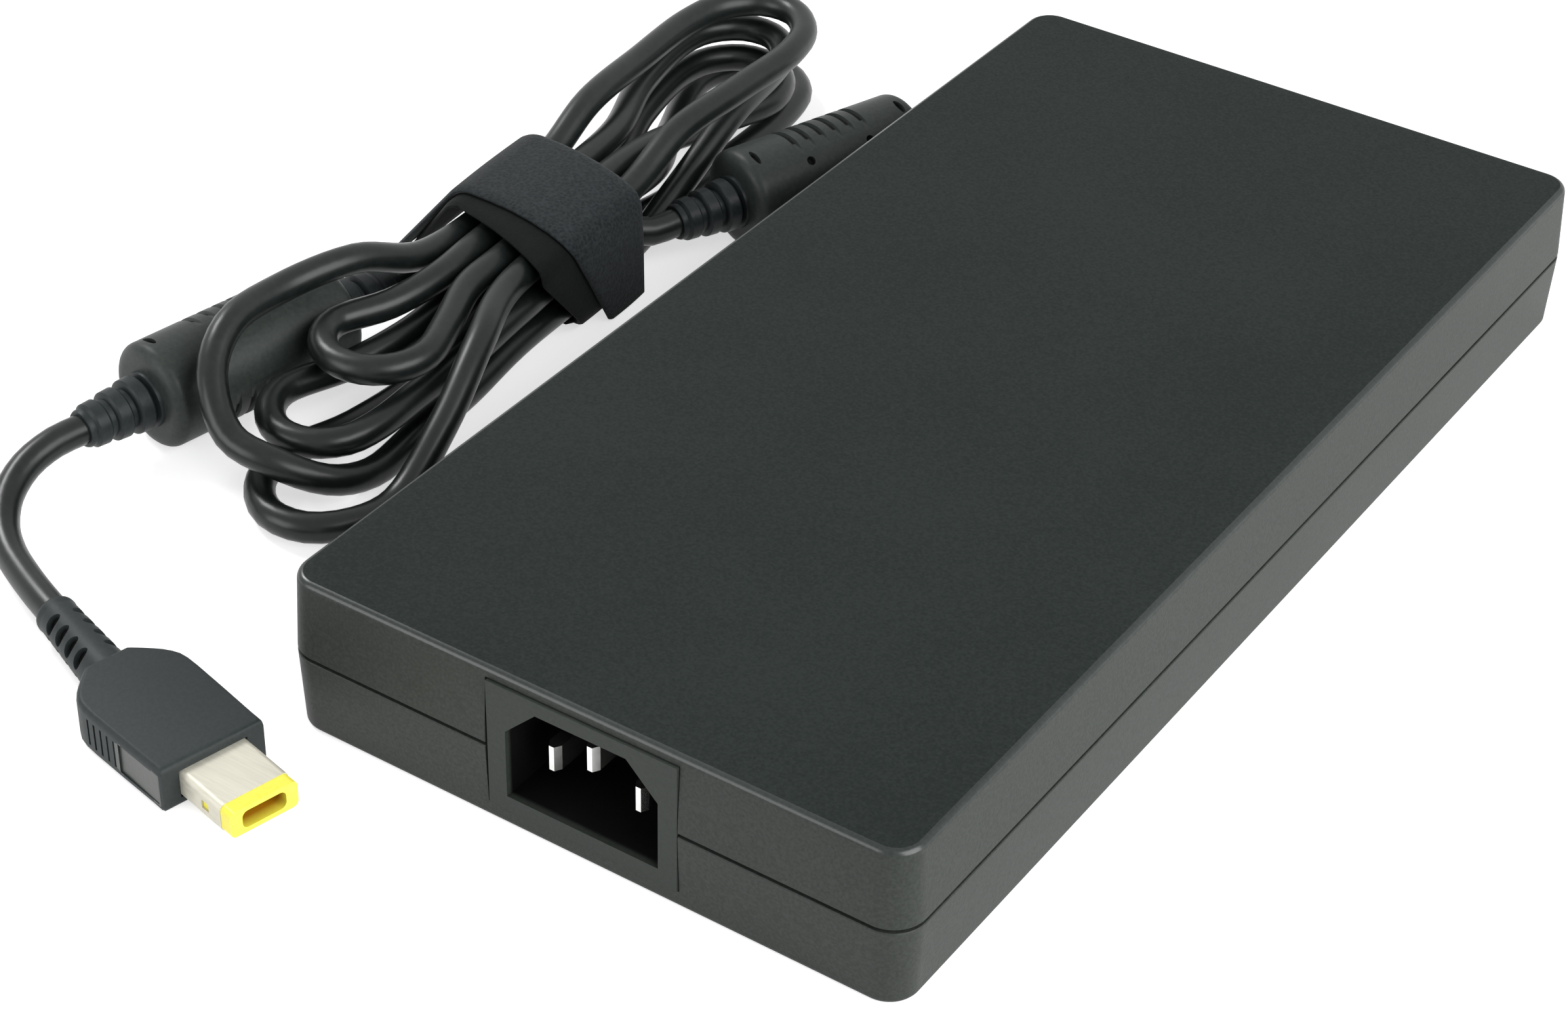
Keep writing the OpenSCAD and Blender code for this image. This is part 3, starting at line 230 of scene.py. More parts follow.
def revolve(name, profile, sides, mat=None, smooth=35):
    """Solid of revolution about +Y from (radius, y) points, with flat ends."""
    loops = [[(r * c, y, r * s) for c, s in circle(sides)] for r, y in profile]
    return lofted(name, loops, smooth, mat)


def catmull(points, step):
    """Centripetal Catmull-Rom curve through points, sampled about every step."""
    p = [Vector(q) for q in points]
    p = [p[0] * 2 - p[1]] + p + [p[-1] * 2 - p[-2]]
    out = []
    for i in range(1, len(p) - 2):
        a, b, c, d = p[i - 1:i + 3]
        t0 = 0.0
        t1 = t0 + max((b - a).length, 1e-6) ** 0.5
        t2 = t1 + max((c - b).length, 1e-6) ** 0.5
        t3 = t2 + max((d - c).length, 1e-6) ** 0.5
        n = max(2, int(math.ceil((c - b).length / step)))
        for k in range(n):
            t = t1 + (t2 - t1) * k / n
            a1 = a * ((t1 - t) / (t1 - t0)) + b * ((t - t0) / (t1 - t0))
            a2 = b * ((t2 - t) / (t2 - t1)) + c * ((t - t1) / (t2 - t1))
            a3 = c * ((t3 - t) / (t3 - t2)) + d * ((t - t2) / (t3 - t2))
            b1 = a1 * ((t2 - t) / (t2 - t0)) + a2 * ((t - t0) / (t2 - t0))
            b2 = a2 * ((t3 - t) / (t3 - t1)) + a3 * ((t - t1) / (t3 - t1))
            out.append(b1 * ((t2 - t) / (t2 - t1)) + b2 * ((t - t1) / (t2 - t1)))
    out.append(p[-2])
    return out


def straight(a, b):
    """Evenly spaced points between two ends, without the ends."""
    n = round((b - a).length / STRAIGHT_STEP)
    return [a + (b - a) * k / n for k in range(1, n)]


# ---------- route of the cord, in millimetres, as in the CAD model ----------

CORD_D, CORD_STEP, STRAIGHT_STEP = 4.8, 2.4, 3
# Straight run at each end of a stretch, and how far a stretch begins inside its relief
LEAD, ROOT = 4.8, 3
# Middle line of the housing's strain relief, and the direction in which it ends
RELIEF_PATH = [(-14, 101, 12.8), (-14, 104, 12.8), (-14, 107, 12.6), (-14, 110, 12),
               (-14.3, 113, 10.9), (-15, 115.8, 9.4), (-16, 118.2, 7.6)]
RELIEF_HEADING = unit((-1.2, 2.1, -1.9))
EXIT_ROUTE = [(-21.5, 124.8, 3), (-28, 127, 2.6), (-35, 126.5, 2.6), (-41.5, 122.5, 2.6),
              (-46, 115.5, 2.9), (-49.5, 106.5, 4.2), (-52.2, 97, 6.4)]
# The barrel's length, each sleeve's length and the axis's height; for each bead the near
# end of its barrel and its heading
BEAD_LENGTH, BEAD_SLEEVE, BEAD_Z = 36, 12, 8.6
BEADS = (((-71.4, 38, BEAD_Z), 19.5), ((-110.4, -62, BEAD_Z), 11))
# Front of the plug's grip on the table, its direction from +X, and its axis's height
PLUG_AT, PLUG_HEADING, PLUG_MID = Vector((-48.6, -116.3, 0)), -13.5, 3.7
# The plug's strain relief: its root behind the grip's front, its length, and its lean
RELIEF_ROOT, RELIEF_LENGTH, RELIEF_LEAN = 24.8, 17.8, 7
PLUG_ROUTE = [(-114, -84.2, 7.5), (-112.6, -89.6, 5.8), (-109.2, -94.2, 4.4),
              (-104.6, -97.6, 3.7), (-99.4, -100.2, 3.6)]
# Middle of the hank's waist, under the strap, where the strands lie in columns and rows
HANK_AT, HANK_HEADING = Vector((-88.5, 8, 0)), -4
PITCH, COLUMN, ROW = 5.6, 8.4, 4.2
# Places of a strand's points between the waist and its turn, at the near and the far end
NEAR, FAR = (0.35, 0.58, 0.8), (0.22, 0.46, 0.74)
TURN_POINTS = 6


def bead_ends(at, deg):
    """Near and far end of a bead, sleeves included."""
    h = heading(deg)
    return Vector(at) - BEAD_SLEEVE * h, Vector(at) + (BEAD_LENGTH + BEAD_SLEEVE) * h


def waist(column, row):
    """Place of a strand in the waist: across the hank, and its height."""
    return (COLUMN - PITCH * column, ROW + PITCH * row)


def in_hank(u, v, z):
    """Point of the hank from its place across, its place along and its height."""
    a = math.radians(HANK_HEADING)
    return HANK_AT + Vector((u * math.cos(a) + v * math.sin(a),
                             v * math.cos(a) - u * math.sin(a), z))


def blend(share, window):
    """Smooth step from 0 to 1 over a window."""
    c = min(max((share - window[0]) / (window[1] - window[0]), 0), 1)
    return c * c * (3 - 2 * c)


def strand(start, side, height, run, places, across, up):
    """Points from the waist out to one side of a turn; the windows across and up say over
    which part of the way the strand moves sideways and changes height."""
    out = []
    for f in places:
        share = (f - places[0]) / (1 - places[0])
        out.append((start[0] + (side - start[0]) * blend(share, across), run * f,
                    start[1] + (height - start[1]) * blend(share, up)))
    return out


def half_turn(start, end, shape, heights, towards, out, back):
    """One end of the hank, from a place in the waist round to another. shape is the turn's
    centre, half width, depth and reach; heights are those of its first side, its tip and
    its other side; out and back are the windows of the strands to those sides."""
    places = NEAR if towards < 0 else FAR
    centre, half, depth, reach = shape
    run = towards * (reach - depth)
    out_side, back_side = centre - towards * half, centre + towards * half
    pts = strand(start, out_side, heights[0], run, places, out[0], out[1])
    last = TURN_POINTS - 1
    for i in range(TURN_POINTS):
        a, h = math.pi * i / last, 2 * i / last
        if h <= 1:
            z = heights[0] + (heights[1] - heights[0]) * blend(h, (0, 1))
        else:
            z = heights[1] + (heights[2] - heights[1]) * blend(h - 1, (0, 1))
        pts.append((centre + (out_side - centre) * math.cos(a),
                    run + towards * depth * math.sin(a), z))
    return pts + strand(end, back_side, heights[2], run, places, back[0], back[1])[::-1]


HANK_TURNS = (
    half_turn(waist(0, 1), waist(2, 1), (-1.8, 8.8, 9.4, 65), (8.6, 8.4, 8.6), -1,
              ((0.1, 1), (0, 0.5)), ((0.4, 1.1), (0, 1)))
    + half_turn(waist(2, 1), waist(1, 2), (-2.4, 9.2, 11, 73.5), (8.2, 8.2, 8.2), 1,
                ((0.1, 0.9), (0, 0.5)), ((0.7, 1), (0.1, 0.88)))
    + half_turn(waist(1, 2), waist(2, 2), (-1, 8.6, 8.6, 52), (14.5, 14.5, 14.5), -1,
                ((0.3, 1), (0.2, 1)), ((0.5, 1), (0.2, 1)))
    + half_turn(waist(2, 2), waist(0, 0), (-2.6, 9.4, 11, 74), (13.9, 13.9, 13.9), 1,
                ((0.1, 0.9), (0, 0.7)), ((0.62, 1.1), (0, 0.7)))
    + half_turn(waist(0, 0), waist(3, 2), (-4.2, 12.6, 13, 72.5), (2.7, 9.6, 20.6), -1,
                ((0, 0.8), (0, 0.4)), ((0, 0.8), (0, 0.35)))
    + half_turn(waist(3, 2), waist(0, 2), (0.9, 10.4, 14, 74.5), (19.6, 19.6, 19.6), 1,
                ((0, 0.7), (0, 0.3)), ((0.2, 1), (0, 0.4)))
    + half_turn(waist(0, 2), waist(1, 1), (5, 10.8, 13, 76.5), (2.7, 2.7, 2.7), -1,
                ((0, 0.6), (0.3, 1.1)), ((0.3, 1.1), (0, 0.6)))
    + half_turn(waist(1, 1), (1.6, 3.9), (-3.2, 9.4, 11.4, 81), (2.7, 2.7, 2.7), 1,
                ((0.15, 1), (0.08, 0.7)), ((0, 0.5), (0, 0.3))))
# The hank's way in from bead 1, and its way out to bead 2
HANK_IN = ((8.9, 9, 9.8),)
HANK_OUT = ((-2.2, 3, 4.1), (-7.6, -5.5, 5), (-11, -12, 7.2))


def cord_route():
    """Points along the whole cord, from the housing's strain relief to the plug's."""
    (near1, far1), (near2, far2) = (bead_ends(*b) for b in BEADS)
    lead1, lead2 = (LEAD * heading(deg) for _, deg in BEADS)
    relief_end = Vector(RELIEF_PATH[-1])
    plug_way = -along(PLUG_HEADING - RELIEF_LEAN)
    plug_end = (PLUG_AT + Vector((0, 0, PLUG_MID)) - RELIEF_ROOT * along(PLUG_HEADING)
                + RELIEF_LENGTH * plug_way)
    first = [relief_end - ROOT * RELIEF_HEADING, relief_end, relief_end + LEAD * RELIEF_HEADING]
    first += [Vector(p) for p in EXIT_ROUTE] + [far1 + lead1, far1]
    hank = [near1, near1 - lead1]
    hank += [in_hank(*p) for p in (*HANK_IN, *HANK_TURNS, *HANK_OUT)]
    hank += [far2 + lead2, far2]
    last = [near2, near2 - lead2] + [Vector(p) for p in PLUG_ROUTE]
    last += [plug_end + LEAD * plug_way, plug_end, plug_end - ROOT * plug_way]
    first, hank, last = (catmull(stretch, CORD_STEP) for stretch in (first, hank, last))
    return first + straight(far1, near1) + hank + straight(far2, near2) + last


# ---------- materials ----------

def material(name, colour, rough, metallic=0.0, specular=0.5):
    m = bpy.data.materials.new(name)
    m.use_nodes = True
    b = m.node_tree.nodes["Principled BSDF"]
    b.inputs["Base Color"].default_value = (*colour, 1)
    b.inputs["Roughness"].default_value = rough
    b.inputs["Metallic"].default_value = metallic
    b.inputs["Specular IOR Level"].default_value = specular
    return m


def nodes_of(m):
    t = m.node_tree
    return t, t.nodes["Principled BSDF"]


def here(t):
    """Place of the shaded point in the object's frame, which is the CAD's, in metres."""
    return t.nodes.new("ShaderNodeTexCoord").outputs["Object"]


def noise(t, scale, detail, rough=0.55, coords=None):
    n = t.nodes.new("ShaderNodeTexNoise")
    n.inputs["Scale"].default_value = scale
    n.inputs["Detail"].default_value = detail
    n.inputs["Roughness"].default_value = rough
    if coords is None:
        coords = here(t)
    t.links.new(coords, n.inputs["Vector"])
    return n.outputs["Fac"]


def grey(v):
    return (v, v, v)


def ramp(t, source, low, high):
    """Colour between two (position, colour) pairs."""
    r = t.nodes.new("ShaderNodeValToRGB")
    for i, (position, colour) in enumerate((low, high)):
        r.color_ramp.elements[i].position = position
        r.color_ramp.elements[i].color = (*colour, 1)
    t.links.new(source, r.inputs["Fac"])
    return r.outputs["Color"]


def bump(t, b, source, strength, distance):
    n = t.nodes.new("ShaderNodeBump")
    n.inputs["Strength"].default_value = strength
    n.inputs["Distance"].default_value = distance
    t.links.new(source, n.inputs["Height"])
    t.links.new(n.outputs["Normal"], b.inputs["Normal"])


def maths(t, operation, *sources):
    n = t.nodes.new("ShaderNodeMath")
    n.operation = operation
    for i, source in enumerate(sources):
        t.links.new(source, n.inputs[i])
    return n.outputs[0]


def share_of(t, source, none, full):
    """Runs from 0 where the source is at its value for none to 1 at its value for full."""
    n = t.nodes.new("ShaderNodeMapRange")
    n.inputs["From Min"].default_value = none
    n.inputs["From Max"].default_value = full
    t.links.new(source, n.inputs["Value"])
    return n.outputs[0]


def mix_values(t, share, a, b):
    n = t.nodes.new("ShaderNodeMix")
    n.inputs[0].default_value = share
    t.links.new(a, n.inputs[2])
    t.links.new(b, n.inputs[3])
    return n.outputs[0]


def axes(t, vector):
    n = t.nodes.new("ShaderNodeSeparateXYZ")
    t.links.new(vector, n.inputs[0])
    return n.outputs


def recolour(m, share, colour):
    """Lays a plain colour over the material's own one, as far as the share says."""
    t, b = nodes_of(m)
    own = b.inputs["Base Color"].links[0].from_socket
    n = t.nodes.new("ShaderNodeMix")
    n.data_type = "RGBA"
    t.links.new(share, n.inputs["Factor"])
    t.links.new(own, n.inputs[6])
    n.inputs[7].default_value = (*colour, 1)
    t.links.new(n.outputs[2], b.inputs["Base Color"])


def moulded(name, dark, light, rough, grain=1800, depth=0.00005, mottle=35, spec=0.4,
            rough_swing=0.06, speckle=0.5):
    """Moulded plastic: a fine spark-eroded grain over a faint, wide variation. speckle is
    the grain's share in the colour; depth is the height of its bumps, in metres."""
    m = material(name, dark, rough, specular=spec)
    t, b = nodes_of(m)
    wide = noise(t, mottle, detail=3)
    fine = noise(t, grain, detail=2, rough=0.6)
    both = mix_values(t, speckle, wide, fine)
    t.links.new(ramp(t, both, (0.38, dark), (0.62, light)), b.inputs["Base Color"])
    t.links.new(ramp(t, wide, (0.3, grey(rough - rough_swing)), (0.7, grey(rough + rough_swing))),
                b.inputs["Roughness"])
    bump(t, b, fine, strength=0.5, distance=depth)
    return m


# Where painted shade turns the inlet's hollow dark along Y, and half the width of the change
PAINTED_SHADE_FROM, PAINTED_SHADE_BLUR = -99.0, 0.3


def inlet_plastic():
    """The inlet's face is grey; its deep hollow, behind the face, is painted nearly black as
    shade.
    """
    m = moulded("inlet_plastic", (0.021, 0.026, 0.022), (0.029, 0.034, 0.030), 0.5, spec=0.2)
    t = m.node_tree
    recolour(m, share_of(t, axes(t, here(t))["Y"], (PAINTED_SHADE_FROM - PAINTED_SHADE_BLUR) * MM,
                         (PAINTED_SHADE_FROM + PAINTED_SHADE_BLUR) * MM), grey(0.0012))
    return m


# The tip's slot: its mouth in front of the grip, half its width and half its height
SLOT_FRONT, SLOT_HALF_WIDTH, SLOT_HALF_HEIGHT = 11.5, 3.5, 1.4


def tip_plastic_painted_shade():
    """The tip's yellow, with amber painted shade in the depth of its slot."""
    m = moulded("tip_plastic_painted_shade", (0.87, 0.79, 0.075), (0.92, 0.85, 0.11), 0.38, grain=1500,
                depth=0.00002)
    t = m.node_tree
    in_plug = t.nodes.new("ShaderNodeMapping")
    in_plug.vector_type = "TEXTURE"
    in_plug.inputs["Location"].default_value = (PLUG_AT + Vector((0, 0, PLUG_MID))) * MM
    in_plug.inputs["Rotation"].default_value = (0, 0, math.radians(PLUG_HEADING))
    in_plug.inputs["Scale"].default_value = (MM, SLOT_HALF_WIDTH * MM, SLOT_HALF_HEIGHT * MM)
    t.links.new(here(t), in_plug.inputs["Vector"])
    x, y, z = axes(t, in_plug.outputs[0])
    off_axis = maths(t, "MAXIMUM", maths(t, "ABSOLUTE", y), maths(t, "ABSOLUTE", z))
    inside = share_of(t, off_axis, 1.06, 1.01)
    depth = share_of(t, x, SLOT_FRONT - 0.15, SLOT_FRONT - 1.9)
    # Painted shade: amber deep inside the slot
    recolour(m, maths(t, "MULTIPLY", inside, depth), (0.42, 0.19, 0.006))
    return m


def steel():
    """Brushed metal of the plug's sleeve, with its lines along the plug."""
    m = material("plug_metal", (0.66, 0.64, 0.54), 0.5, metallic=0.45)
    t, b = nodes_of(m)
    mp = t.nodes.new("ShaderNodeMapping")
    mp.inputs["Rotation"].default_value = (0, 0, math.radians(-PLUG_HEADING))
    mp.inputs["Scale"].default_value = (140, 2600, 2600)
    t.links.new(here(t), mp.inputs["Vector"])
    lines = noise(t, 1, detail=3, rough=0.6, coords=mp.outputs["Vector"])
    t.links.new(ramp(t, lines, (0.3, (0.54, 0.52, 0.44)), (0.7, (0.62, 0.60, 0.51))),
                b.inputs["Base Color"])
    t.links.new(ramp(t, lines, (0.3, grey(0.44)), (0.7, grey(0.6))), b.inputs["Roughness"])
    bump(t, b, lines, strength=0.25, distance=0.00002)
    return m


def nickel():
    """Plated metal of the pins."""
    m = material("pin_metal", (0.75, 0.75, 0.73), 0.25, metallic=1.0)
    t, b = nodes_of(m)
    n = noise(t, 900, detail=3)
    t.links.new(ramp(t, n, (0.3, (0.68, 0.68, 0.66)), (0.7, (0.8, 0.8, 0.78))),
                b.inputs["Base Color"])
    bump(t, b, n, strength=0.2, distance=0.00001)
    return m


def fabric(name, dark, light, sheen):
    """Brushed fabric of the strap: short crossed fibres and small tufts."""
    m = material(name, dark, 0.85, specular=0.12)
    t, b = nodes_of(m)
    fibre = noise(t, 2600, detail=5, rough=0.7)
    tuft = t.nodes.new("ShaderNodeTexVoronoi")
    tuft.inputs["Scale"].default_value = 1700
    t.links.new(here(t), tuft.inputs["Vector"])
    both = mix_values(t, 0.4, fibre, tuft.outputs["Distance"])
    t.links.new(ramp(t, both, (0.3, dark), (0.65, light)), b.inputs["Base Color"])
    b.inputs["Sheen Weight"].default_value = sheen
    b.inputs["Sheen Roughness"].default_value = 0.5
    bump(t, b, both, strength=0.7, distance=0.00011)
    return m


HOUSING_TONES = (0.0105, 0.0150, 0.0138), (0.0195, 0.0250, 0.0235)
MAT = {
    "housing": moulded("housing_plastic", *HOUSING_TONES, 0.62, grain=2100, spec=0.1,
                       rough_swing=0.025, speckle=0.7),
    # Lighter copy of the same plastic, for the lower shell and the upper shell's walls: painted
    # light
    "housing_painted_lit": moulded("housing_plastic_painted_lit", (0.0185, 0.0220, 0.0190),
                           (0.0310, 0.0355, 0.0315), 0.5, grain=2100, spec=0.2,
                           rough_swing=0.025, speckle=0.7),
    "edge": moulded("housing_plastic_edge", *HOUSING_TONES, 0.3, grain=2100, depth=0.00002,
                    spec=0.42, rough_swing=0.03, speckle=0.7),
    # Near-black painted shade for the floors of recesses and for the block deep in the tip
    "cavity": moulded("inlet_cavity_plastic", grey(0.002), grey(0.003), 0.6, spec=0.1),
    "cord": moulded("cord_jacket", (0.0040, 0.0056, 0.0054), (0.0084, 0.0110, 0.0104), 0.35,
                    grain=900, depth=0.00002, mottle=60, spec=0.34, rough_swing=0.05),
    "bead": moulded("bead_jacket", (0.022, 0.0275, 0.025), (0.034, 0.0405, 0.037), 0.45,
                    grain=1400, spec=0.2),
    # The sleeves' darker tone is painted shade of their rings on the bead's rubber
    "sleeve": moulded("sleeve_rubber_painted_shade", (0.013, 0.017, 0.018), (0.020, 0.025, 0.026), 0.45,
                      grain=1400, spec=0.2),
    "relief": moulded("relief_rubber", (0.010, 0.011, 0.011), (0.014, 0.016, 0.016), 0.5,
                      grain=1400),
    "plug": moulded("plug_plastic", (0.019, 0.024, 0.024), (0.026, 0.032, 0.032), 0.5,
                    grain=1600, spec=0.2),
    # The side panels' smoother finish is real; their lighter tone is painted sheen
    "panel": moulded("plug_panel_painted_sheen", (0.052, 0.056, 0.052), (0.065, 0.069, 0.064), 0.36,
                     grain=1600),
    "inlet": inlet_plastic(),
    "yellow": tip_plastic_painted_shade(),
    "metal": steel(),
    "pin": nickel(),
    "strap": fabric("strap_loop_fabric", (0.005, 0.0068, 0.0076), (0.022, 0.0275, 0.0295), 0.08),
    # The inner turn's hook side: a darker fabric, made near black partly as painted shade under
    # the outer turn
    "strap_back_painted_shade": fabric("strap_hook_fabric_painted_shade", (0.0015, 0.002, 0.002), (0.004, 0.005, 0.005),
                         0.02),
}

# Finishes of the pieces inside the closed housing: colour, roughness, metallic, CAD nodes
INNER = {
    "wire_sleeve": ((0.35, 0.05, 0.03), 0.4, 0, ("inlet_wires", "output_wires")),
    "sheet_film": ((0.6, 0.58, 0.5), 0.4, 0,
                   ("lower_insulating_sheet", "upper_insulating_sheet")),
    "shield_aluminium": ((0.72, 0.73, 0.74), 0.35, 1,
                         ("lower_shield", "upper_shield", "primary_heat_sink",
                          "secondary_heat_sink")),
    "board_laminate": ((0.02, 0.16, 0.05), 0.35, 0, ("circuit_board",)),
    "fuse_ceramic": ((0.7, 0.68, 0.6), 0.35, 0, ("fuse",)),
    "copper_wire": ((0.65, 0.25, 0.08), 0.35, 1,
                    ("line_filter_choke_1", "line_filter_choke_2", "pfc_choke_winding",
                     "output_choke")),
    "capacitor_yellow": ((0.65, 0.45, 0.05), 0.4, 0, ("filter_capacitor",)),
    "capacitor_blue": ((0.05, 0.15, 0.5), 0.35, 0, ("safety_capacitors",)),
    "capacitor_sleeve": ((0.03, 0.05, 0.16), 0.35, 0, ("bulk_capacitors", "output_capacitors")),
    "package_black": ((0.02, 0.02, 0.022), 0.45, 0,
                      ("bridge_rectifier", "switching_transistors", "optocouplers",
                       "rectifier_transistors", "control_chips")),
    "ferrite_dark": ((0.05, 0.05, 0.052), 0.55, 0,
                     ("pfc_choke_core", "transformer_core", "bead_1_core", "bead_2_core")),
    "winding_tape": ((0.75, 0.55, 0.06), 0.4, 0, ("transformer_winding",)),
    "pad_silicone": ((0.35, 0.42, 0.5), 0.7, 0, ("thermal_pads",)),
}


def inner_material(name, colour, rough, metallic):
    """Plain finish with a slight, uneven tone."""
    m = material(name, colour, rough, metallic)
    t, b = nodes_of(m)
    n = noise(t, 500, detail=3)
    low, high = ([min(c * f, 1) for c in colour] for f in (0.85, 1.15))
    t.links.new(ramp(t, n, (0.3, low), (0.7, high)), b.inputs["Base Color"])
    bump(t, b, n, strength=0.25, distance=0.00003)
    return m


def dress(mat, *nodes):
    """Gives a material to nodes of the CAD model that stay."""
    for node in nodes:
        slots = bpy.data.objects[node].data.materials
        slots.clear()
        slots.append(mat)


# ---------- cord, first of the pieces ----------

path = cord_route()
cord = tube("output_cord", path, [CORD_D / 2] * len(path), 20, MAT["cord"], 60)


# ---------- housing ----------

# Half sizes and corner radius of the plan, and the walls' thickness; then heights
HALF_X, HALF_Y, CORNER, WALL = 50, 100, 5, 2.2
TOP, CEILING, INNER_FLOOR = 25.4, 23.2, 2.2
# How far the walls lean in at the foot and at the top, and the rounds there
FOOT_INSET, FOOT_ROUND, TOP_INSET, TOP_ROUND = 0.5, 0.9, 0.6, 1.1
# The parting line: the lower rim, the upper rim, the tongue's inset and the seams' bevel
LOW_RIM, HIGH_RIM, TONGUE_INSET, BEVEL = 12.5, 13.05, 1.3, 0.12
TONGUE_TOP, TONGUE_GAP = 14, 0.15
# Inset and corner radius of the innermost rings on the top and on the ceiling
CAP_INSET, CAP_RADIUS = 4, 1.5
# The inlet block's window, and the hole for the cord
WINDOW = ((-15.2, 15.8), (-104, -97.2), (2.85, 23.85))
EXIT_AT, EXIT_RADIUS, EXIT_FROM, EXIT_TO = (-14, 0, 12.8), 5.35, 96, 104
HOUSING_SMOOTH = 32


def shell(name, profile, mat):
    """Closed shell through rings of (inset from the plan, height, corner radius), where a
    radius that isn't given keeps the wall's thickness even round the corners."""
    loops = []
    for inset, z, *radius in profile:
        r = radius[0] if radius else CORNER - inset
        loops.append([(x, y, z) for x, y in rounded_rect(HALF_X - inset, HALF_Y - inset, r, 14)])
    return lofted(name, loops, HOUSING_SMOOTH, mat)


def make_housing():
    foot = [(FOOT_INSET + FOOT_ROUND * (1 - c), FOOT_ROUND * (1 - s)) for c, s in quarter(6)]
    edge = [(TOP_INSET + TOP_ROUND * (1 - c), TOP - TOP_ROUND * (1 - s)) for c, s in quarter(8)]
    # Lower shell: base, foot, wall, rim with its tongue, inner wall and floor, in the lighter
    # tone that is painted light
    low = shell("lower_shell", [(2, 0)] + foot[::-1] + [
        (0, LOW_RIM - 0.15), (BEVEL, LOW_RIM), (TONGUE_INSET - 0.1, LOW_RIM + 0.05),
        (TONGUE_INSET, LOW_RIM + 0.1), (TONGUE_INSET, TONGUE_TOP - 0.1),
        (TONGUE_INSET + 0.1, TONGUE_TOP), (WALL - 0.02, TONGUE_TOP, CORNER - WALL),
        (WALL, TONGUE_TOP - 0.1), (WALL, INNER_FLOOR + 0.1), (WALL + 0.3, INNER_FLOOR)],
        MAT["housing_painted_lit"])
    # Upper shell: top, edge, wall, rim with its rebate for the tongue, inner wall and ceiling
    rebate, rebate_top = TONGUE_INSET - TONGUE_GAP, TONGUE_TOP + TONGUE_GAP
    up = shell("upper_shell", [(CAP_INSET, TOP, CAP_RADIUS)] + edge[::-1] + [
        (0, HIGH_RIM + 0.15), (BEVEL, HIGH_RIM), (rebate - 0.1, HIGH_RIM),
        (rebate, HIGH_RIM + 0.05), (rebate, rebate_top), (WALL, rebate_top),
        (WALL, CEILING - 0.2), (WALL + 0.3, CEILING), (CAP_INSET, CEILING, CAP_RADIUS)],
        MAT["housing"])
    for obj in (low, up):
        hole = revolve("cutter", [(EXIT_RADIUS, EXIT_FROM), (EXIT_RADIUS, EXIT_TO)], 48)
        cut_by(obj, [box_cutter(*WINDOW), place(hole, EXIT_AT)], HOUSING_SMOOTH)
    # The upper shell's walls take the lower shell's lighter tone, which is painted light on the
    # same plastic; the top face keeps the darker one
    steep, flat = 0.35, 0.97
    paint(up, MAT["housing_painted_lit"], lambda c, n: abs(n.z) < steep)
    # The round between them is rubbed smooth, and shows it as a glint
    paint(up, MAT["edge"], lambda c, n: c.z > TOP - TOP_ROUND and steep <= n.z < flat)
    return low, up


lower_shell, upper_shell = make_housing()


# ---------- beads ----------

# How far a cutter stands out of the surface that it cuts
CLEAR = 0.6
# The barrel: its radius, its flat face, the round at its ends and its straight part's start
BARREL_R, BARREL_FACE, BARREL_ROUND, BARREL_FROM = 8.6, 4, (2.6, 1.9), 2.4
# Grip grooves on each side: count, pitch, angles of their middles, span, depth, half width
GROOVES, GROOVE_PITCH, GROOVE_MIDS = 6, 2.8, (97, 277)
GROOVE_SPAN, GROOVE_DEPTH, GROOVE_HALF, GROOVE_STEPS = 92, 0.5, 0.85, 28
# A groove's floor as a share of its width, and how soon it is at full depth
GROOVE_FLOOR, GROOVE_RISE = 0.45, 1.6
# The mould's marks: place from the barrel's middle, angles, and size, length and depth
MARKS = ((BEAD_LENGTH / 2 - 2.9, (66, 246), (1.1, 3.4, 0.7)), (6.2, (38, 218), (1.6, 1.6, 0.9)))
# Rings of a sleeve: count, start, first radius, what each next one loses, share they fill
RINGS, RINGS_FROM, RING_R, RING_STEP, RING_SHARE = 3, 1.2, 4.5, 0.45, 0.68
BEAD_SMOOTH = 38


def pit(y, angle, r, size, length, depth):
    """Cutter for a small pocket in a round body along Y: size is measured along the body,
    and length round it."""
    loops = []
    for reach in (r - depth, r + CLEAR):
        loop = []
        for c, s in circle(20):
            turn = math.radians(angle) + (length / 2 * c) / r
            loop.append((reach * math.cos(turn), y + size / 2 * s, reach * math.sin(turn)))
        loops.append(loop)
    return lofted("cutter", loops, 0)


def groove_cutter(y, mid):
    """Groove round part of the barrel that runs out to nothing at both ends."""
    loops = []
    for i in range(GROOVE_STEPS + 1):
        a = math.radians(mid - GROOVE_SPAN / 2 + GROOVE_SPAN * i / GROOVE_STEPS)
        full = min(1, math.sin(math.pi * i / GROOVE_STEPS) * GROOVE_RISE)
        deep, high = BARREL_R - GROOVE_DEPTH * full - 0.001, BARREL_R + CLEAR
        section = ((high, -1), (deep, -GROOVE_FLOOR), (deep, GROOVE_FLOOR), (high, 1))
        loops.append([(r * math.cos(a), y + GROOVE_HALF * w, r * math.sin(a))
                      for r, w in section])
    return lofted("cutter", loops, 0)


def sleeve_profile():
    """Collar and ever smaller rings of a bead's sleeve: (radius, distance from the barrel)."""
    out = [(4.6, -0.6), (4.6, 0), (4.45, 0.5), (3.4, 0.8)]
    pitch = (BEAD_SLEEVE - RINGS_FROM) / RINGS
    for k in range(RINGS):
        r, y0 = RING_R - RING_STEP * k, RINGS_FROM + pitch * k
        y1 = y0 + RING_SHARE * pitch
        out += [(3.3 - 0.1 * k, y0 - 0.15), (r - 0.3, y0), (r, y0 + 0.35), (r - 0.1, y1 - 0.3),
                (r - 0.4, y1), (3.2 - 0.1 * k, y1 + 0.15)]
    return out + [(3.05, BEAD_SLEEVE - 0.35), (2.85, BEAD_SLEEVE)]


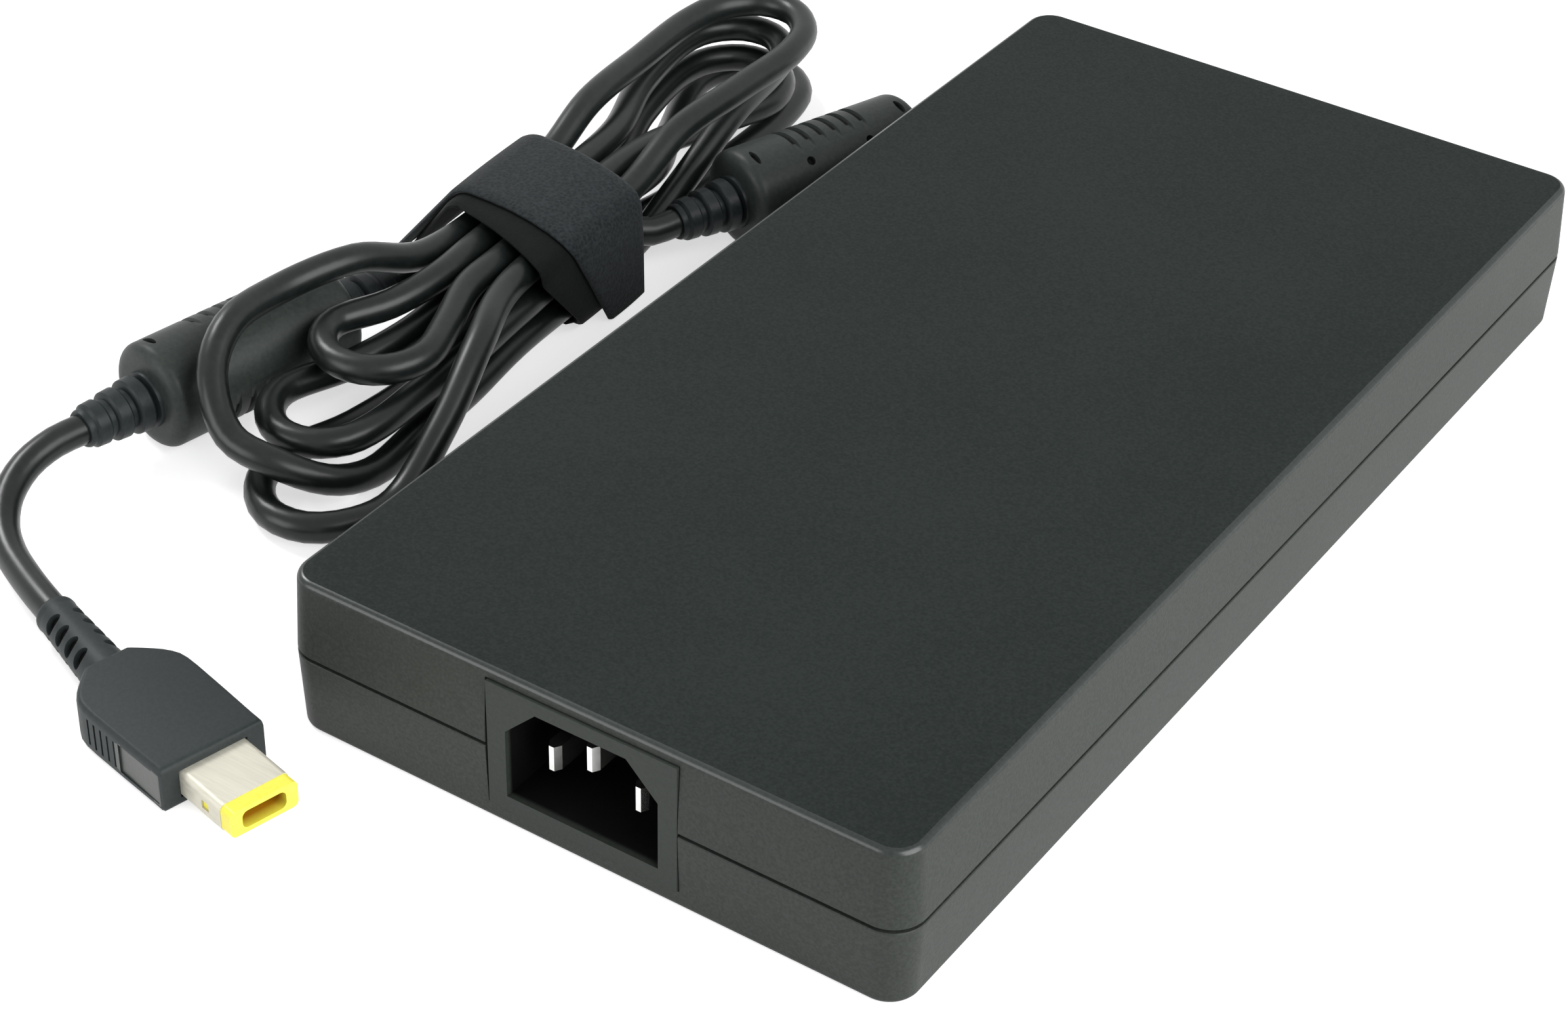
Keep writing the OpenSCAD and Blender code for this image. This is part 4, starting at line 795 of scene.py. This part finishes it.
def bead(name, at, deg, roll):
    """Moulded bead cover: barrel with rounded ends, grip grooves on two sides, the mould's
    slots and locating holes, and ringed sleeves."""
    across, deep = BARREL_ROUND
    half = [(BARREL_FACE, 0)]
    half += [(BARREL_R - across * (1 - s), deep * (1 - c)) for c, s in quarter(8)]
    half += [(BARREL_R, BARREL_FROM)]
    profile = half + [(r, BEAD_LENGTH - y) for r, y in half[::-1]]
    body = revolve(name, profile, 96, MAT["bead"], BEAD_SMOOTH)
    middle = BEAD_LENGTH / 2
    grooves = [groove_cutter(middle + (k - (GROOVES - 1) / 2) * GROOVE_PITCH, mid)
               for mid in GROOVE_MIDS for k in range(GROOVES)]
    pits = [pit(middle + way * away, angle, BARREL_R, *sizes)
            for away, angles, sizes in MARKS for way in (-1, 1) for angle in angles]
    for cutters in (grooves, pits):
        cut_by(body, [merge(cutters[0], cutters[1:])], BEAD_SMOOTH)
    # The floors of the grooves and pits get near-black painted shade
    inside = BARREL_R - GROOVE_DEPTH + 0.04
    first, last = BARREL_FROM - 0.2, BEAD_LENGTH - BARREL_FROM + 0.2
    paint(body, MAT["cavity"],
          lambda c, n: first < c.y < last and math.hypot(c.x, c.z) < inside)
    sleeves = []
    for root, way in ((0, -1), (BEAD_LENGTH, 1)):
        rings = [(r, root + way * y) for r, y in sleeve_profile()]
        sleeves.append(revolve(name + "_sleeve", rings, 48, MAT["sleeve"]))
    join_meshes(body, sleeves)
    tidy(body, BEAD_SMOOTH)
    return place(body, at, (-deg, "Z"), (-roll, "Y"))


bead_1 = bead("bead_1_jacket", *BEADS[0], roll=12)
bead_2 = bead("bead_2_jacket", *BEADS[1], roll=38)


# ---------- strain relief at the housing ----------

# Along the relief, from inside the end wall: where the neck and the collar end, where the
# tail has come down to the cord, and where its last groove may be
NECK_END, COLLAR_END, TAIL_LENGTH, GROOVES_END = 2.6, 4, 17.5, 19.5
NECK_R, COLLAR_R, TAIL_R, TAIL_TAPER, LEAST_R, RELIEF_STEP = 5.15, 5.55, 4.45, 1.5, 2.75, 0.3
# The tail's ribs: pitch, width and swell, and the depth and end of the groove behind each
TAIL_PITCH, TAIL_RIB, TAIL_SWELL, TAIL_DEPTH, TAIL_GROOVE_END = 2.9, 1.7, 0.12, 0.85, 2.7


def relief_radius(run):
    """Radius of the housing's strain relief at a distance along it."""
    if run < COLLAR_END:
        return NECK_R if run < NECK_END else COLLAR_R
    tail = run - COLLAR_END
    r = TAIL_R - TAIL_TAPER * min(1, tail / TAIL_LENGTH)
    phase = tail % TAIL_PITCH
    if TAIL_RIB < phase < TAIL_GROOVE_END and run < GROOVES_END:
        r -= TAIL_DEPTH
    else:
        r += TAIL_SWELL * math.sin(math.pi * min(phase, TAIL_RIB) / TAIL_RIB)
    return max(r, LEAST_R)


def housing_relief():
    """Neck and collar in the end wall, and a bent tail whose ribs taper to the cord."""
    inside_wall = [(-14, 97.6, 12.8), (-14, 99, 12.8)]
    spine = catmull(inside_wall + RELIEF_PATH, RELIEF_STEP)
    run, radii = 0, [relief_radius(0)]
    for a, b in zip(spine, spine[1:]):
        run += (b - a).length
        radii.append(relief_radius(run))
    return tube("cord_relief", spine, radii, 40, MAT["relief"], 40)


relief = housing_relief()


# ---------- strap ----------

# Thickness, height at the left shoulder, radius at the floor, and place of the right-hand wall
STRAP_T, STRAP_TOP, STRAP_BASE, STRAP_HALF = 1.1, 18.7, 3.5, 12.2
# Radius of the left shoulder, slope of the side below it in degrees, and the shoulder's place
STRAP_CORNER, STRAP_SLANT, STRAP_SHOULDER = 5.0, 50.0, -7.35
# Crown of the strap from its right-hand wall: a crisp fold, then a low dome
STRAP_CROWN = [(12.15, 10), (11.95, 15.4), (11.85, 16.3), (11.45, 17.0), (10.7, 17.35),
               (8.4, 18.05), (4.5, 18.7), (0.5, 19.0), (-3.5, 18.95)]
# Gap between the turns, how much the fabric swells, and the step of its cross-section
TURN_GAP, SWELL, STRAP_STEP = 0.12, 0.16, 0.8
# Across the hank, where the strap's sides begin; and the height up to which it counts as floor
RIGHT_SIDE, LEFT_SIDE, FLOOR_BELOW = 9, -8, 1.6
# The edges lie this far along the hank at the middle of the crown, and run askew
INNER_NEAR, INNER_FAR, INNER_SLOPE = -14.3, 10.6, 0.36
OUTER_NEAR, OUTER_FAR, OUTER_SLOPE, FAR_SLOPE = -9.7, 11.2, 0.16, 0.2
# Across a band: (share of the way, share of the full thickness), thin lips at both edges
LIP = [(0, 0.25), (0.02, 0.7), (0.05, 1)]
STATIONS = (LIP + [(0.05 + 0.9 * k / 16, 1) for k in range(1, 16)]
            + [(1 - f, full) for f, full in LIP[::-1]])


def arc(cx, cz, radius, a0, a1, steps):
    """Points of an arc in a cross-section, between two angles."""
    angles = [math.radians(a0 + (a1 - a0) * k / steps) for k in range(steps + 1)]
    return [(cx + radius * math.cos(a), cz + radius * math.sin(a)) for a in angles]


def strap_line(low_z, foot_z):
    """Cross-section of the strap's inner face, from the low right-hand wall to the foot."""
    left = arc(STRAP_SHOULDER, STRAP_TOP - STRAP_CORNER, STRAP_CORNER, 90, 90 + STRAP_SLANT, 12)
    end = left[-1]
    foot = (end[0] - (end[1] - foot_z) / math.tan(math.radians(STRAP_SLANT)), foot_z)
    return [(STRAP_HALF, low_z)] + STRAP_CROWN + left + [foot]


def normals_of(line):
    """Outward directions at the points of a cross-section line."""
    out = []
    for i in range(len(line)):
        a, b = line[max(i - 1, 0)], line[min(i + 1, len(line) - 1)]
        d = (b[0] - a[0], b[1] - a[1])
        s = math.hypot(*d)
        out.append((d[1] / s, -d[0] / s))
    return out


def offset(line, distance):
    """Line moved outwards by a distance."""
    return [(u + n[0] * distance, z + n[1] * distance)
            for (u, z), n in zip(line, normals_of(line))]


def resample(line):
    """Line with points no further apart than about a step."""
    out = [line[0]]
    for a, b in zip(line, line[1:]):
        n = max(1, int(math.hypot(b[0] - a[0], b[1] - a[1]) / STRAP_STEP))
        for k in range(1, n + 1):
            out.append((a[0] + (b[0] - a[0]) * k / n, a[1] + (b[1] - a[1]) * k / n))
    return out


def band(name, line, near, far, mat):
    """Flat strap along a cross-section line. Along the hank, near gives the place of the
    near edge at a point of the line, and far that of the far edge at the middle."""
    loops = []
    for (u, z), (nu, nz) in zip(line, normals_of(line)):
        v0, v1 = near(u, z), far - FAR_SLOPE * u
        ring = []
        for side in (1, -1):
            for f, full in STATIONS[::side]:
                lift = STRAP_T / 2 * (1 + side * full)
                if side == 1:
                    lift += SWELL * math.sin(math.pi * f)
                ring.append(in_hank(u + nu * lift, v0 + (v1 - v0) * f, max(z + nz * lift, 0)))
        loops.append(ring)
    return lofted(name, loops, 50, mat)


def near_edge(u, z, start, slope, draw, height):
    """Near edge of a turn: askew over the crown, and drawn back down the right-hand wall
    from a height on."""
    return start - slope * u + (draw * max(0, height - z) if u > RIGHT_SIDE else 0)


def inner_near(u, z):
    """Near edge of the inner turn, which is drawn back on the floor and on the left too."""
    if z < FLOOR_BELOW and u < RIGHT_SIDE:
        return -7 + 5 * blend(RIGHT_SIDE - u, (0, 30))
    if u < LEFT_SIDE:
        return -10.3 + 0.53 * (17 - z)
    return near_edge(u, z, INNER_NEAR, INNER_SLOPE, draw=0.85, height=15)


def outer_near(u, z):
    return near_edge(u, z, OUTER_NEAR, OUTER_SLOPE, draw=0.56, height=18)


def make_strap():
    # Inner turn: floor, right-hand wall, crown and slanting side; its ends meet at the foot
    section = strap_line(low_z=STRAP_T + STRAP_BASE, foot_z=0.05)
    foot = section[-1][0]
    ring = [(foot + 3.6, STRAP_T + 0.02)] + [(u, STRAP_T) for u in range(-19, 2, 4)]
    ring += arc(STRAP_HALF - STRAP_BASE, STRAP_T + STRAP_BASE, STRAP_BASE, -90, 0, 8)
    ring += section[1:-1] + [(foot + 0.9, STRAP_T - 0.1)]
    inner = band("strap_inner_turn", resample(ring), inner_near, INNER_FAR, MAT["strap_back_painted_shade"])
    # Outer turn: open, on top of the inner one from wall to foot
    line = offset(resample(strap_line(low_z=0.4, foot_z=1.2)), STRAP_T + TURN_GAP)
    outer = band("strap_outer_turn", line, outer_near, OUTER_FAR, MAT["strap"])
    return inner, outer


strap_inner, strap_outer = make_strap()


# ---------- plug, in its own frame, where it points along +X ----------

GRIP_EDGE, GRIP_TOP, GRIP_HALF, GRIP_BACK = 1.0, 7.4, 8.7, 25.6
# Share of the edge's round by which the plan shrinks at the grip's top and bottom
GRIP_SHRINK = 0.8
# Half outline of the grip in plan: (x, how far inside the widest half width)
GRIP_SIDE = ((0.0, 0.5), (-0.5, 0.3), (-2.2, 0.3), (-9.2, 0.12), (-15.9, 0), (-18.2, 0.05),
             (-19.7, 0.3), (-20.9, 0.85), (-22.0, 1.6), (-23.0, 2.5), (-24.0, 3.5),
             (-24.8, 4.35), (-25.3, 4.9), (-25.6, 5.3))
SLEEVE_OPENING = ((-8.2, 1), (-5.5, 5.5), (1.45, 5.95))
# Slots between the finger ribs on each side: count, first place, pitch, half width, depth
# from the axis and height; then the panel in front of them, and where the cutters end
SLOTS, SLOT_FIRST, SLOT_PITCH, SLOT_HALF, SLOT_FLOOR = 5, -10.9, 1.55, 0.22, 8.48
SLOT_Z = (1.5, 5.9)
PANEL_X, PANEL_FLOOR, PANEL_Z, SIDE_CLEAR = (-9.85, -0.9), 8.3, (1.25, 6.15), 9.4
# The plug's relief: radius at its root, what it loses to its end, and the lip at that end
ROOT_R, ROOT_TAPER, LIP_RADII, RELIEF_STEPS = 3.65, 0.7, (3.1, 3.05, 2.7), 40
# Its pockets: rows, first row, pitch, angles, and size, length and depth of each
POCKETS, POCKET_FIRST, POCKET_PITCH, POCKET_ANGLES = 4, 4.1, 3.1, (38, 142, 218, 322)
POCKET_SIZES = (1.9, 3.7, 0.9)


def grip_outline(inset):
    """Plan of the grip: straight front, nearly straight sides that round in at the back."""
    half = [(x, GRIP_HALF - d) for x, d in GRIP_SIDE]
    pts = half + [(x, -y) for x, y in half[::-1]]
    cx = -GRIP_BACK / 2
    return [((x - cx) * (1 - inset / (GRIP_BACK / 2)) + cx, y * (1 - inset / GRIP_HALF))
            for x, y in pts]


def plug_relief_radius(back):
    """Radius of the plug's relief at a distance behind its root."""
    return ROOT_R - ROOT_TAPER * back / RELIEF_LENGTH


def plug_relief():
    """Strain relief of the plug along -Y, with rows of pockets above and below."""
    backs = [RELIEF_LENGTH * k / RELIEF_STEPS for k in range(RELIEF_STEPS + 1)]
    radii = [plug_relief_radius(back) for back in backs[:-3]] + list(LIP_RADII)
    obj = revolve("plug_relief", [(r, -back) for r, back in zip(radii, backs)], 64, MAT["plug"])
    pockets = []
    for k in range(POCKETS):
        back = POCKET_FIRST + k * POCKET_PITCH
        pockets += [pit(-back, angle, plug_relief_radius(back), *POCKET_SIZES)
                    for angle in POCKET_ANGLES]
    cut_by(obj, [merge(pockets[0], pockets[1:])], 40)
    # The pockets' floors get near-black painted shade
    paint(obj, MAT["cavity"],
          lambda c, n: (-15.5 < c.y < -2.5
                        and math.hypot(c.x, c.z) < plug_relief_radius(-c.y) - 0.55))
    return obj


def make_plug():
    """Grip with its opening, finger ribs and panels, and the relief that leans behind it."""
    low = [(1 - s, GRIP_EDGE * (1 - c)) for c, s in quarter(6)]
    high = [(1 - c, GRIP_TOP - GRIP_EDGE * (1 - s)) for c, s in quarter(6)]
    loops = [[(x, y, z) for x, y in grip_outline(GRIP_EDGE * share * GRIP_SHRINK)]
             for share, z in low + high]
    grip = lofted("plug_body", loops, 35, MAT["plug"])
    cutters = [box_cutter(*SLEEVE_OPENING)]
    for side in (-1, 1):
        for k in range(SLOTS):
            x = SLOT_FIRST - SLOT_PITCH * k
            cutters.append(box_cutter((x - SLOT_HALF, x + SLOT_HALF),
                                      (side * SLOT_FLOOR, side * SIDE_CLEAR), SLOT_Z))
        cutters.append(box_cutter(PANEL_X, (side * PANEL_FLOOR, side * SIDE_CLEAR), PANEL_Z))
    cut_by(grip, cutters, 35)
    # The panels' faces get the lighter tone, painted sheen
    paint(grip, MAT["panel"], lambda c, n: (
        abs(n.y) > 0.9 and abs(c.y) > 8 and PANEL_X[0] - 0.05 < c.x < PANEL_X[1] + 0.1
        and PANEL_Z[0] - 0.05 < c.z < PANEL_Z[1] + 0.05))
    # The relief's own -Y turns to the back of the grip
    rel = place(plug_relief(), (-RELIEF_ROOT, 0, PLUG_MID), (-RELIEF_LEAN, "Z"), (-90, "Z"))
    join_meshes(grip, [rel])
    tidy(grip, 35)
    return place(grip, PLUG_AT, (PLUG_HEADING, "Z"))


plug = make_plug()


# ---------- CAD nodes that stay, dressed ----------

for name, (colour, rough, metallic, nodes) in INNER.items():
    dress(inner_material(name, colour, rough, metallic), *nodes)
dress(MAT["inlet"], "inlet_block")
dress(MAT["pin"], "live_pin", "neutral_pin", "earth_pin", "plug_centre_pin")
dress(MAT["metal"], "plug_sleeve")
dress(MAT["yellow"], "plug_tip")
# The block deep in the tip's slot is painted near black as shade
dress(MAT["cavity"], "plug_inner_block")


# ---------- riding and replacing ---------------------

REPLACED = (
    (cord, ("exit_cord", "cord_hank", "plug_cord"), "cord_jacket"),
    (lower_shell, ("lower_housing",), "housing_lower_plastic"),
    (upper_shell, ("upper_housing",), "housing_upper_plastic"),
    (bead_1, ("bead_1_cover",), "bead_cover_plastic"),
    (bead_2, ("bead_2_cover",), "bead_cover_plastic"),
    (relief, ("housing_strain_relief",), "strain_relief_rubber"),
    (strap_inner, ("hank_strap",), "strap_fabric"),
    (strap_outer, ("hank_strap",), "strap_fabric"),
    (plug, ("plug_grip",), "plug_grip_plastic"),
)
for piece, nodes, slot_name in REPLACED:
    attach(piece, "root")
    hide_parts(*nodes)


# ---------- floor and light ----------

# Strength of the floor's own light where it is seen, and of the sky's where it lights things
FLOOR_LIFT, SKY = 0.62, 0.24
# Half the floor's width, in metres
FLOOR_HALF = 4


def seen_directly(t):
    """1 for camera, glossy and transmission rays, else 0."""
    rays = t.nodes.new("ShaderNodeLightPath").outputs
    mirrored = maths(t, "MAXIMUM", rays["Is Camera Ray"], rays["Is Glossy Ray"])
    return maths(t, "MAXIMUM", mirrored, rays["Is Transmission Ray"])


def split_rays(t, output, lighting, seen):
    """Shows one shader to rays that see the surface directly, and another to the rest."""
    mix = t.nodes.new("ShaderNodeMixShader")
    t.links.new(seen_directly(t), mix.inputs[0])
    t.links.new(lighting.outputs[0], mix.inputs[1])
    t.links.new(seen.outputs[0], mix.inputs[2])
    t.links.new(mix.outputs[0], t.nodes[output].inputs["Surface"])


def floor_material():
    """Pale matt floor that looks white where nothing shades it."""
    m = material("pale_floor", grey(0.8), 0.9, specular=0.0)
    t, b = nodes_of(m)
    glow = t.nodes.new("ShaderNodeEmission")
    glow.inputs["Strength"].default_value = FLOOR_LIFT
    both = t.nodes.new("ShaderNodeAddShader")
    t.links.new(b.outputs[0], both.inputs[0])
    t.links.new(glow.outputs[0], both.inputs[1])
    split_rays(t, "Material Output", b, both)
    return m


def white_sky(t):
    """White where it is seen, and dimmer where it lights things."""
    light, seen = t.nodes["Background"], t.nodes.new("ShaderNodeBackground")
    for background, strength in ((light, SKY), (seen, 1.0)):
        background.inputs["Color"].default_value = (1, 1, 1, 1)
        background.inputs["Strength"].default_value = strength
    split_rays(t, "World Output", light, seen)


def area(name, at, size, power):
    """Square lamp that faces the origin; places and sizes are in metres."""
    data = bpy.data.lights.new(name, "AREA")
    data.shape = "SQUARE"
    data.size = size
    data.energy = power
    obj = bpy.data.objects.new(name, data)
    scene.collection.objects.link(obj)
    obj.location = at
    obj.rotation_euler = (-Vector(at)).to_track_quat("-Z", "Y").to_euler()


floor_mesh = bpy.data.meshes.new("floor")
floor_mesh.from_pydata([(x * FLOOR_HALF, y * FLOOR_HALF, 0) for x, y in
                        ((-1, -1), (1, -1), (1, 1), (-1, 1))], [], [(0, 1, 2, 3)])
floor = bpy.data.objects.new("floor", floor_mesh)
scene.collection.objects.link(floor)
# Just under the table plane, so that no face of the part lies in it
floor.location.z = -0.1 * MM
floor.data.materials.append(floor_material())

world = bpy.data.worlds.new("world")
scene.world = world
world.use_nodes = True
white_sky(world.node_tree)

area("key", (1.0, -0.15, 0.5), 1.1, 22)
area("front_left", (-0.5, -0.95, 0.35), 0.6, 4.5)
area("left", (-1.0, 0.1, 0.9), 0.35, 8)

scene.view_settings.view_transform = "Standard"
